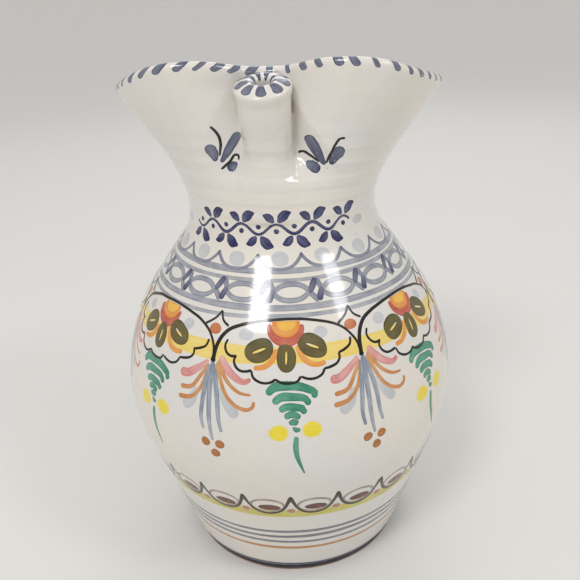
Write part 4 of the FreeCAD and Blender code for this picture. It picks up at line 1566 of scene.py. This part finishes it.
@dataclass
class Frieze:
    """Frieze of lobed medallions and tassels, drawn in degrees from their own middles and heights."""

    painter: Painter
    joints: Place = (-26.1, 24.4)
    count: int = 7
    tremble: float = 0.22
    band: tuple = (Brush.BAND, 135.2, 5.6, 0.5, 0, 0.25)
    medallion: tuple = (
        Strokes(Brush.OUTLINE, 4, (0.95, 0.7), ((
            ((-25.2, 131.6), (-24.6, 137.3), (-23.3, 141.0), (-21.0, 143.8), (-16.9, 145.8), (-12.2, 147.1),
             (-5.6, 148.0), (1.0, 148.3), (7.6, 147.8), (12.3, 146.8), (16.1, 145.7), (18.9, 144.4),
             (21.3, 142.6), (23.2, 140.1), (24.6, 137.3), (25.3, 131.6)),
            (1.6, 1.4, 1.05, 0.95, 0.9, 0.85, 0.85, 0.85, 1.0)),)),
        Strokes(Brush.OUTLINE, 4, (0.95, 0.85), tuple((lobe, (0.8, 0.95, 0.85, 0.95)) for lobe in (
            ((-20.7, 140.4), (-21.4, 138.2), (-20.5, 135.4), (-18.8, 134.3), (-16.8, 134.5)),
            ((-17.0, 134.5), (-17.6, 133.2), (-17.2, 131.0), (-15.5, 129.1), (-12.9, 129.0),
             (-11.5, 129.5)),
            ((-11.6, 129.4), (-11.0, 126.9), (-9.1, 125.1), (-6.6, 124.6), (-4.4, 125.6), (-3.8, 126.3)),
            ((-3.9, 126.2), (-2.3, 124.9), (0.5, 124.4), (3.1, 125.2), (4.1, 127.0)),
            ((4.2, 126.9), (6.2, 125.8), (9.0, 125.8), (11.1, 127.2), (11.9, 129.1)),
            ((11.8, 129.0), (14.2, 129.4), (16.6, 130.7), (17.5, 132.6), (17.3, 134.2)),
            ((17.3, 134.1), (19.9, 135.1), (22.0, 136.6), (22.7, 139.1)))), 0.8),
        Blobs(Brush.PALE, 0, 0.5, (((-14.3, 142.7), (3.5, 2.5)), ((12.4, 142.7), (3.4, 2.4)))),
        Strokes(Brush.RED, 2, (0.7, 0.6), ((
            ((-6.2, 146.6), (-5.5, 143.5), (-3.5, 141.2), (0.2, 140.0), (3.5, 141.2), (5.3, 143.4),
             (6.0, 146.2)), (1.7, 2.6, 3.2, 2.6, 1.5)),)),
        Fill(Brush.ORANGE, 3, 0.7, ((-5.2, 147.4), (-4.6, 144.0), (-2.6, 141.9), (0.2, 141.2), (2.9, 141.9),
                                    (4.7, 143.9), (5.4, 147.2)),
             ((-5.2, 147.5), (-2.6, 147.7), (0.2, 147.8), (2.9, 147.7), (5.4, 147.5))),
        Fill(Brush.YELLOW, 5, 0.4, ((-3.5, 147.3), (-2.9, 145.3), (-1.4, 144.0), (0.4, 143.7), (2.2, 144.1),
                                    (3.6, 145.5), (4.2, 147.2)), ((-3.5, 147.4), (0.4, 147.7), (4.2, 147.4))),
        Blobs(Brush.OLIVE, 4, 0.6, (((-9.3, 137.0), (6.4, 4.7), 20.0, (2.9, 0.36), 2.15),
                                    ((-0.25, 134.2), (5.6, 4.3), 86.0, (2.5, 0.34), 2.15),
                                    ((8.8, 138.1), (6.8, 4.4), -22.0, (2.8, 0.36), 2.15))),
        Strokes(Brush.ORANGE, 2, (0.5, 0.8), (
            (((-3.4, 137.6), (-4.8, 133.6), (-7.1, 131.1), (-10.9, 130.3)), (1.9, 2.0, 1.8, 1.5)),
            (((3.6, 138.9), (4.6, 135.4), (7.0, 132.0), (10.2, 130.9), (12.6, 131.4)),
             (1.9, 2.0, 1.8, 1.5)))),
        Strokes(Brush.GREEN, 1, (0.45, 0.85), (
            (((-6.6, 120.0), (-4.7, 122.6), (0.0, 123.5), (5.7, 121.9), (8.1, 119.7), (7.4, 117.9)),
             (2.508, 3.42, 3.192, 2.85, 2.28)),
            (((-4.7, 116.3), (-2.8, 118.5), (1.5, 118.8), (5.2, 117.6), (6.2, 115.0)),
             (2.508, 3.192, 2.736, 2.28)),
            (((-2.8, 112.9), (-1.4, 114.4), (1.9, 114.4), (4.3, 113.2), (4.1, 111.3)), (2.508, 2.964, 2.508)),
            (((-1.3, 109.8), (0.0, 111.3), (1.9, 111.0), (3.1, 109.4)), (2.508, 2.622, 2.28)),
            (((0.0, 106.9), (1.2, 108.2), (2.4, 107.0)), (2.28, 2.508)),
            (((0.9, 104.4), (1.9, 105.0), (2.2, 103.2)), (2.28, 2.394)),
            (((1.8, 101.3), (1.5, 96.0), (1.9, 90.4), (2.8, 86.0), (3.8, 81.6)),
             (1.71, 2.166, 1.824, 1.254, 0.57)))),
        Blobs(Brush.LEMON, 0, 0.6, (((-3.4, 103.0), (5.2, 4.3)), ((6.6, 104.0), (5.2, 4.3)))))
    tassel: tuple = (
        Strokes(Brush.SMOKE, 2, (0.7, 0.6), (
            (((-0.9, 129.5), (-2.2, 115.4), (-2.6, 106.0), (-1.9, 101.2)), (1.764, 2.058, 1.764, 1.176)),
            (((0.1, 130.2), (0.0, 115.4), (0.4, 102.9), (1.2, 96.3)), (1.96, 2.156, 1.862, 1.078)),
            (((1.2, 128.6), (2.9, 115.4), (3.5, 106.0), (4.3, 101.2)), (1.862, 2.058, 1.764, 1.176)))),
        Strokes(Brush.PINK, 1, (0.4, 0.85), (
            (((2.8, 133.8), (5.4, 129.3), (8.3, 126.2), (11.6, 124.6), (13.6, 125.9)),
             (2.6, 3.0, 2.5, 1.5)),)),
        Strokes(Brush.OCHRE, 1, (0.4, 0.85), (
            (((2.2, 132.0), (4.2, 127.2), (6.8, 122.9), (10.2, 120.0), (13.7, 119.4)), (1.8, 1.5, 1.3, 0.9)),
            (((1.8, 131.0), (3.8, 123.5), (6.4, 117.2), (9.7, 113.8), (13.0, 113.2), (14.4, 114.7),
              (14.6, 116.8)), (1.8, 1.5, 1.5, 1.5, 1.2)))),
        Strokes(Brush.PALE, 0, (0.4, 0.85), (
            (((3.8, 122.0), (6.4, 114.5), (9.4, 109.2)), (2.6, 4.4, 4.4)),)),
        Strokes(Brush.PINK, 1, (0.4, 0.85), (
            (((-1.4, 131.2), (-6.2, 126.4), (-9.2, 124.2), (-12.0, 124.2)), (1.4, 2.9, 3.3)),)),
        Strokes(Brush.OCHRE, 1, (0.4, 0.85), (
            (((-1.2, 130.0), (-4.0, 124.1), (-6.8, 119.1), (-11.1, 117.8)), (1.4, 1.5, 1.8)),
            (((-1.0, 129.0), (-3.5, 119.1), (-6.4, 114.8), (-11.6, 113.2)), (1.4, 1.5, 1.9)))),
        Strokes(Brush.PALE, 0, (0.4, 0.85), (
            (((-4.4, 119.5), (-6.6, 113.0), (-9.6, 109.4)), (2.6, 4.4, 4.6)),)),
        Blobs(Brush.BERRY, 1, 0.6, tuple((spot, (2.35, 2.3)) for spot in (
            (-1.3, 95.0), (3.5, 94.9), (1.8, 89.9)))),
        Strokes(Brush.OUTLINE, 4, (0.7, 0.8), (
            (((-5.9, 144.6), (-1.6, 147.9), (0.0, 150.3)), (0.85, 0.75, 0.8)),
            (((0.0, 150.2), (1.2, 147.0), (3.9, 145.0)), (0.85, 0.75, 0.8))), 0.8),
        Blobs(Brush.OUTLINE, 4, 0.95, (((0.1, 131.8), (1.3, 1.0)),)),
        Strokes(Brush.SMOKE, 3, (1.0, 0.6), ((((0.1, 131.0), (0.4, 128.6), (0.6, 124.0)), (1.8, 2.8, 2.0)),)),
        Blobs(Brush.TANGERINE, 1, 0.55, (((-1.2, 143.5), (3.1, 2.1)),)))

    def placing(self, middle: float, stretch: float, exact: bool) -> Put:
        """How a motif's points are put round the jug, by an uneven hand.

        Args:
            middle: Degrees of its own middle.
            stretch: How much wider than the first it is.
            exact: Whether the hand stays true.

        Returns:
            The function that puts them there.
        """
        def stray(share: float = 1.0) -> float:
            """How far the hand strays."""
            return share * self.painter.rng.uniform(-1.0, 1.0) * (0.0 if exact else self.tremble)

        def put(points: Places) -> list[Place]:
            """Put some points round the jug."""
            shift = (stray(), stray())
            return [(middle + stretch * x + shift[0] + stray(0.5), z + shift[1] + stray(0.5))
                    for x, z in points]

        return put

    def draw(self) -> None:
        """Draw the band and the motifs; the first ones stay exactly as measured."""
        left, right = self.joints
        step = (360.0 - (right - left)) / (self.count - 1)
        angles = [left] + [right + step * index for index in range(self.count)]
        self.painter.ring(*self.band)
        for index in range(self.count):
            start, end = angles[index:index + 2]
            wide = (end - start) / (right - left)
            self.painter.draw(self.medallion, self.placing((start + end) / 2, wide, index == 0))
            self.painter.draw(self.tassel, self.placing(start, 1.0, index < 2))


def mirrored(side: Places, width: float) -> list[Place]:
    """A unit's left half and its mirror image, which share the middle place."""
    return [*side, *((width - x, z) for x, z in reversed(side[:-1]))]


@dataclass
class Borders:
    """Lines, interlace, scallops and garland that run right round the jug."""

    painter: Painter
    lines: tuple = ((Brush.GREY_BLUE, 165.5, 1.8, 0.6), (Brush.GREY_BLUE, 162.4, 1.3, 0.5),
                    (Brush.GREY_BLUE, 152.1, 1.9, 0.55), (Brush.GREY_BLUE, 149.0, 1.25, 0.45),
                    (Brush.STEEL, 36.3, 1.7, 0.55), (Brush.STEEL, 32.1, 1.8, 0.6),
                    (Brush.STEEL, 27.6, 1.7, 0.55), (Brush.HONEY, 21.7, 1.7, 0.6),
                    (Brush.INDIGO, 5.9, 1.9, 0.95))
    meadow: tuple = (Brush.MEADOW, 52.6, 6.4, 0.5, 0, 0.5)
    wave: float = 0.25
    links: int = 17
    link_start: float = -8.5
    lens: Place = (154.6, 160.5)
    lens_gap: float = 2.6
    lens_round: float = 0.8
    crossings: tuple = ((((0.9, 162.2), (3.2, 157.8)), (2.2, 1.8), (0.9, 0.7)),
                        (((-2.9, 157.6), (0.9, 153.8)), (1.8, 2.2), (0.7, 0.9)))
    dark_links: tuple = ((((-2.7, 157.0), (-0.8, 159.8), (0.9, 162.2)), (1.8, 2.3, 2.3), (0.5, 0.9)),
                         (((0.9, 153.9), (2.0, 156.4), (3.2, 158.6)), (2.4, 2.3, 1.8), (0.9, 0.5)))
    scallops: int = 16
    scallop_start: float = -13.9
    scallop: Places = ((0.0, 171.3), (1.8, 169.4), (5.0, 167.2))
    scallop_low: float = 166.1
    swags: int = 22
    swag_start: float = -1.8
    swag: Places = ((0.0, 64.6), (1.1, 60.4), (2.4, 56.4), (4.6, 53.6))
    swag_low: float = 52.4
    loop: tuple = (58.4, 5.9, 4.6)

    def draw(self) -> None:
        """Draw every border."""
        for line in self.lines:
            self.painter.ring(*line, 1, self.wave)
        self.painter.ring(*self.meadow)
        self.interlace()
        self.scallop_row()
        self.garland()

    def interlace(self) -> None:
        """Chain of lenses whose ends cross at dark links."""
        low, high = self.lens
        start, end = self.lens_gap, 360.0 / self.links - self.lens_gap
        lens, link = self.painter.unit(), self.painter.unit(0.09)
        for edge, bulge in ((high, self.lens_round), (low, -self.lens_round)):
            side = [(start, (low + high) / 2), (shares(start, end, 0.2), edge - bulge),
                    (shares(start, end, 0.5), edge)]
            lens.stroke(mirrored(side, start + end), (1.7, 1.7, 1.65, 1.7), (0.6, 0.75))
        for sheet, strokes in ((lens, self.crossings), (link, self.dark_links)):
            for stroke in strokes:
                sheet.stroke(*stroke)
        for name, brush, sheet in (("interlace_lenses", Brush.GREY_BLUE, lens),
                                   ("interlace_links", Brush.LINK, link)):
            self.painter.lay(name, brush, sheet, self.links, self.link_start, 0.3, 0.2, 0.004)

    def scallop_row(self) -> None:
        """Scallops over the upper line, with a pale dot in each."""
        pitch = 360.0 / self.scallops
        line, dot = self.painter.unit(), self.painter.unit(0.04)
        line.stroke(mirrored([*self.scallop, (pitch / 2, self.scallop_low)], pitch),
                    (1.3, 1.05, 1.1, 1.05, 1.3), (0.6, 0.6))
        line.blob(0.9, (0.0, 171.0), (0.9, 1.1))
        dot.blob(0.65, (pitch / 2 + 0.3, 170.0), (4.2, 3.3))
        row = (self.scallops, self.scallop_start)
        self.painter.lay("scallop_dots", Brush.PALE, dot, *row, 0.5, 0.3, 0.002)
        self.painter.lay("scallop_line", Brush.SCALLOP, line, *row, 0.2, 0.15)

    def garland(self) -> None:
        """Peaked scallops round the lower body, with an eye in each."""
        pitch = 360.0 / self.swags
        half = pitch / 2
        line, loop, eye, mark = (self.painter.unit(lift) for lift in (0.09, 0.07, 0.07, 0.05))
        line.stroke(mirrored([*self.swag, (half, self.swag_low)], pitch),
                    (1.75, 1.25, 1.2, 1.3, 1.2, 1.25, 1.75), (0.85, 0.85))
        line.blob(0.95, (0.0, 64.2), (1.1, 1.4))
        turn = np.radians(np.arange(-90, 271, 24))
        height, wide, high = self.loop
        loop.stroke(np.stack([half + wide * np.cos(turn), height + high * np.sin(turn)], axis=-1),
                    (1.0, 1.5, 1.0), (0.65, 0.65))
        eye.blob(0.85, (half + 0.6, 57.0), (5.6, 2.4))
        mark.blob(0.7, (0.0, 54.4), (2.6, 2.2))
        for name, brush, sheet in (("garland_marks", Brush.RUST, mark), ("garland_loops", Brush.UMBER, loop),
                                   ("garland_eyes", Brush.WINE, eye), ("garland_line", Brush.GARLAND, line)):
            self.painter.lay(name, brush, sheet, self.swags, self.swag_start, 0.25, 0.2, 0.002)


@dataclass
class NeckFlora:
    """Running vine round the front of the neck and loose sprigs above it."""

    painter: Painter
    span: Place = (-59.0, 41.0)
    middle: float = 182.2
    swing: float = 2.3
    period: float = 20.0
    leaf: Place = (7.2, 3.6)
    leaf_tips: Sequence[Place] = ((0.45, 0.50), (0.80, 0.62))
    small_leaf: float = 0.8
    extras: tuple = (
        Blobs(Brush.PALE, 0, 0.6, (((48.0, 181.0), (4.0, 2.5)), ((-72.0, 181.0), (4.0, 2.5)))),
        Strokes(Brush.OUTLINE, 4, (0.8, 0.7), tuple((tendril, (0.8, 0.95, 0.9, 0.6)) for tendril in (
            ((-38.4, 226.1), (-36.1, 223.2), (-34.9, 218.4), (-36.0, 213.4)),
            ((-35.2, 207.7), (-30.9, 210.8), (-27.9, 213.7), (-26.5, 213.3), (-26.3, 211.4)),
            ((12.3, 213.3), (14.9, 214.1), (18.2, 212.6), (22.3, 209.9)),
            ((33.0, 219.8), (30.9, 219.8), (28.6, 217.2), (26.6, 213.0), (25.6, 209.4)))), 0.8),
        Strokes(Brush.SLATE, 2, (0.3, 0.85), (
            (((-41.6, 218.0), (-39.8, 216.2), (-38.0, 211.0)), (3.0, 4.3, 3.2, 1.3)),
            (((-26.3, 223.0), (-29.5, 218.4), (-35.3, 210.6)), (2.8, 3.2, 2.6, 1.2)),
            (((-26.8, 208.2), (-29.0, 208.8), (-31.8, 207.6)), (3.2, 3.9, 2.2)),
            (((16.4, 221.4), (20.0, 216.0), (24.8, 208.6)), (2.7, 3.3, 2.6, 1.3)),
            (((15.8, 207.8), (18.4, 208.2), (21.8, 205.6)), (3.4, 4.2, 2.8)),
            (((33.4, 215.2), (30.4, 213.6), (27.4, 208.6)), (3.8, 4.9, 3.4, 1.4))), 0.8))

    def draw(self) -> None:
        """Draw the vine, its leaves and dots, and the sprigs."""
        low, high = self.span
        stem = [(x, self.height(x)) for x in np.arange(low, high + 0.1, self.period / 8)]
        vine = self.painter.sheet(Brush.INDIGO, 2)
        vine.stroke(stem, (0.9, 1.3, 1.0, 1.4, 0.9), (0.8, 0.7))
        for index, x in enumerate(np.arange(low + self.period / 4, high, self.period / 2)):
            side = 1 if index % 2 else -1
            for lean, grow in ((-1, self.small_leaf), (1, 1.0)):
                foot = (x + lean * 1.2, self.height(x) + side * 0.8)
                length, width = (size * grow for size in self.leaf)
                across = lean * length / self.painter.metric(*foot)[0]
                tips = [(foot[0] + out * across, foot[1] + side * up * length) for out, up in self.leaf_tips]
                vine.stroke([foot, *tips], (0.9, width, width, 0.5), (0.55, 0.95), 0.8)
            self.painter.sheet(Brush.INDIGO, 3).blob(0.8, (x, self.height(x) - side * 3.3), (1.25, 1.15))
        self.painter.draw(self.extras)

    def height(self, angle: float) -> float:
        """Height of the vine's stem at an angle."""
        return self.middle - self.swing * math.sin(2 * math.pi * (angle - self.span[0]) / self.period)


@dataclass
class EdgeDashes:
    """Dashes over the rim, over the spout's lip and across the handle."""

    painter: Painter
    brush: Brush = Brush.SLATE
    lift: float = 0.07
    taper: Sequence[float] = (0.55, 0.95, 1.0)
    load: Place = (0.75, 0.35)
    step: float = 0.7
    bow: float = 0.15
    pitch: float = 7.7
    stray: float = 0.09
    widths: Sequence[float] = (2.4, 3.3, 2.9, 1.9, 2.8)
    across: Place = (152.0, -16.0)
    slants: Places = ((-180.0, -3.0), (-70.0, -6.0), (-12.0, -8.5), (3.0, 0.0), (10.0, 4.5), (40.0, 4.0),
                      (65.0, 1.0), (180.0, -3.0))
    edge_reach: float = 8.0
    stripes: int = 9
    stripe_start: float = 0.87
    stripe_widths: Sequence[float] = (3.1, 3.6, 3.3)
    stripe_across: Place = (170.0, 16.0)
    handle_dashes: int = 9
    handle_across: Place = (-52.0, 52.0)
    handle_slant: float = 1.5
    handle_reach: float = 30.0

    def lay(self, name: str, surface: Piece, places: Array, closed: bool, up: Sequence[float],
            roundness: float, reach: float, dashes: Places, across: Place, widths: Sequence[float]) -> None:
        """Lay dashes round a line as one piece.

        Args:
            name: The piece's name.
            surface: What the dashes lie on.
            places: The line's points.
            closed: Whether it meets itself.
            up: Which way is up round it.
            roundness: Radius of the form round it.
            reach: How far from it they are dropped.
            dashes: Each one's middle along the line and its slant.
            across: Their ends round the line, in degrees.
            widths: Their widths in turn.
        """
        data = bpy.data.curves.new(name, "CURVE")
        data.dimensions = "3D"
        line = data.splines.new("POLY")
        line.points.add(len(places) - 1)
        line.points.foreach_set("co", np.insert(places * MM, 3, 1.0, axis=1).ravel())
        line.use_cyclic_u = closed
        path = add_piece(name + "_line", data)
        sheet = Sheet(lambda _along, _turn: (1.0, roundness * DEGREE), random.Random(len(dashes)), self.lift)
        for index, (middle, slant) in enumerate(dashes):
            width = widths[index % len(widths)]
            bend = middle + self.bow * width * self.painter.rng.uniform(-1, 1)
            ends = (middle - slant / 2, bend, middle + slant / 2)
            sheet.stroke(list(zip(ends, (across[0], sum(across) / 2, across[1]))),
                         [share * width for share in self.taper], self.load, self.step)
        lay_brushwork(name, sheet, (MM, DEGREE), self.painter.path, {
            "Surface": surface, "Material": self.painter.material(self.brush), "Copies": 1,
            "Path": path, "Up": tuple(up), "Reach": reach * MM})
        bpy.data.objects.remove(path)

    def rim(self, wall: Piece) -> None:
        """Dashes all round the rim, which slant away from the fold.

        Args:
            wall: The glazed wall.
        """
        form = self.painter.form
        angles = np.linspace(-180.0, 180.0, 721)[:-1]
        reach, crest = form.rim(angles)
        half = form.lip / 2
        line = round_axis(reach - half, np.radians(angles - form.mouth_turn), crest - half)
        at = lengths_along(np.vstack([line, line[:1]]))
        dashes = []
        for index in range(int(at[-1] / self.pitch)):
            middle = self.pitch * (index + self.painter.rng.uniform(-self.stray, self.stray))
            dashes.append((middle, np.interp(np.interp(middle, at[:-1], angles), *zip(*self.slants))))
        self.lay("rim_dashes", wall, line, True, UPWARDS, half, self.edge_reach, dashes, self.across,
                 self.widths)

    def spout(self, spout: PouringSpout, tube: Piece) -> None:
        """Stripes over the spout's rolled lip.

        Args:
            spout: The spout's sizes.
            tube: The spout's tube.
        """
        (radius, height), bead = spout.bead()
        place = np.array(spout.placement)
        turn = whole_turn(120)
        back = radius * np.sin(turn)
        ring = np.stack([radius * np.cos(turn), back, height + spout.slope * back], axis=-1)
        pitch = 2 * math.pi * radius / self.stripes
        dashes = [(pitch * (index + self.stripe_start), 0.0) for index in range(self.stripes)]
        self.lay("spout_stripes", tube, ring @ place[:3, :3].T + place[:3, 3], True, place[:3, 2], bead,
                 self.edge_reach, dashes, self.stripe_across, self.stripe_widths)

    def handle(self, handle: StrapHandle, strap: Piece) -> None:
        """Dashes across the back of the handle.

        Args:
            handle: The handle's sizes.
            strap: The handle's strap.
        """
        line = np.insert(handle.line[0], 0, 0.0, axis=1) @ handle.turn.T
        pitch = lengths_along(line)[-1] / (self.handle_dashes + 1)
        dashes = [(pitch * (index + 1) + self.handle_slant / 2, self.handle_slant)
                  for index in range(self.handle_dashes)]
        self.lay("handle_dashes", strap, line, False, -handle.turn @ np.array(SIDE), handle.width / 3,
                 self.handle_reach, dashes, self.handle_across, self.widths)


@dataclass
class Viewpoint:
    """Where the photograph was taken from, in the jug's own frame."""

    place: Spot = (0.0, -336.75, 275.45)
    pitch: float = -22.741
    heading: float = 0.3197
    roll: float = -2.525
    frame_pixels: float = 580.0
    focal_pixels: float = 700.0
    sensor: float = 36.0

    def make(self) -> None:
        """Add the camera and make it the scene's own."""
        data = bpy.data.cameras.new("viewpoint")
        data.sensor_fit, data.sensor_width = "HORIZONTAL", self.sensor
        data.lens = self.sensor * self.focal_pixels / self.frame_pixels
        data.clip_start = 0.01
        camera = add_piece("viewpoint", data)
        camera.matrix_world = (Matrix.Translation(Vector(self.place) * MM) @ turned(-self.heading, "Z")
                               @ turned(90.0 + self.pitch, "X") @ turned(self.roll, "Z"))
        bpy.context.scene.camera = camera


@dataclass(frozen=True)
class Lamp:
    """One soft lamp of the studio."""

    name: str
    place: Spot
    size: float
    power: float
    aim: Spot = (0.0, 0.0, 0.13)

    def make(self) -> None:
        """Add the lamp, turned to what it lights."""
        data = bpy.data.lights.new(self.name, "AREA")
        data.shape, data.size, data.energy = "SQUARE", self.size, self.power
        way = Vector(self.place) - Vector(self.aim)
        add_piece(self.name, data).matrix_world = (Matrix.Translation(Vector(self.place))
                                                   @ way.to_track_quat("Z", "Y").to_matrix().to_4x4())


@dataclass
class Studio:
    """Plain pale floor, soft lamps and a pale surround."""

    floor_radius: float = 6.0
    floor_rings: int = 30
    floor_steps: int = 96
    floor_colour: Colour = paint(226, 225, 222)
    floor_roughness: float = 0.85
    flat_share: float = 0.3
    sweep_height: float = 8.0
    surround: float = 0.73
    backdrop: float = 0.88
    surround_tint: Colour = (1.0, 0.995, 0.985, 1.0)
    lamps: tuple[Lamp, ...] = (
        Lamp("key", (-0.52, -1.0, 1.35), 0.4, 7.5),
        Lamp("fill", (1.1, -0.75, 1.4), 0.35, 4.0),
        Lamp("back", (0.2, 1.2, 1.2), 0.8, 3.0),
    )

    def floor(self) -> None:
        """Add the round pale floor, which sweeps up far behind the jug."""
        share = np.linspace(0.02, 1.0, self.floor_rings)[:, None]
        rise = np.clip(share - self.flat_share, 0.0, 1.0) ** 2 * self.sweep_height
        places = round_axis(share * self.floor_radius, -whole_turn(self.floor_steps), rise)
        middle = tuple(reversed(range(self.floor_steps)))
        faces = [*grid_faces(self.floor_rings, self.floor_steps, around=True), middle]
        mesh = smooth_mesh("floor", places.reshape(-1, 3), faces, 1.0)
        material, board, shader = start_material("pale_floor")
        board.feed(shader, {"Base Color": self.floor_colour, "Roughness": self.floor_roughness})
        mesh.materials.append(material)
        add_piece("floor", mesh)

    def make(self) -> None:
        """Set up the floor, the surround, the pale ground that the camera sees, and the lamps."""
        self.floor()
        world = bpy.data.worlds.new("surround")
        world.use_nodes = True
        board = Board(world.node_tree)
        path = board.make("ShaderNodeLightPath").outputs["Is Camera Ray"]
        seen = board.sum("MULTIPLY_ADD", path, self.backdrop - self.surround, self.surround)
        board.feed(world.node_tree.nodes["Background"], {"Color": self.surround_tint, "Strength": seen})
        bpy.context.scene.world = world
        for lamp in self.lamps:
            lamp.make()
        bpy.context.scene.view_settings.view_transform = "Standard"


def main() -> None:
    """Build the jug, its brushwork and the studio around it."""
    logging.basicConfig(level=logging.INFO, format="%(name)s: %(message)s")
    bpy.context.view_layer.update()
    form = JugForm()
    form.fit_to_frame()
    glaze = Glaze()
    white = glaze.material()
    wall = add_piece("glazed_wall", form.mesh("glazed_wall"))
    handle, upper, lower = StrapHandle(form).make(wall)
    foot = FootRing(form).make()
    spout = PouringSpout(form).make(wall)
    dress(wall, white, Slot.GLAZE, "belly", "neck_collar")
    dress(spout, white, Slot.GLAZE, "spout_tube")
    dress(foot, Clay().material(), Slot.CLAY, "foot_ring")
    dress(handle, white, Slot.GLAZE, "strap_handle")
    dress(upper, white, Slot.GLAZE, "upper_luting_coil")
    dress(lower, white, Slot.GLAZE, "lower_luting_coil")
    painter = Painter(form, glaze, wall)
    Frieze(painter).draw()
    Borders(painter).draw()
    NeckFlora(painter).draw()
    painter.lay_all()
    # Dark blue-black band laid over the whole visible outer side of the foot ring, which darkens the foot
    # under the base.
    trim = Painter(form, glaze, foot)
    trim.ring(Brush.NIGHT, 2.1, 2.55, 0.9, 0, 0.0)
    trim.lay("foot_band", Brush.NIGHT, trim.sheet(Brush.NIGHT, 0))
    edges = EdgeDashes(painter)
    edges.rim(wall)
    edges.spout(PouringSpout(form), spout)
    edges.handle(StrapHandle(form), handle)
    Viewpoint().make()
    Studio().make()


if __name__ == "__main__":
    main()
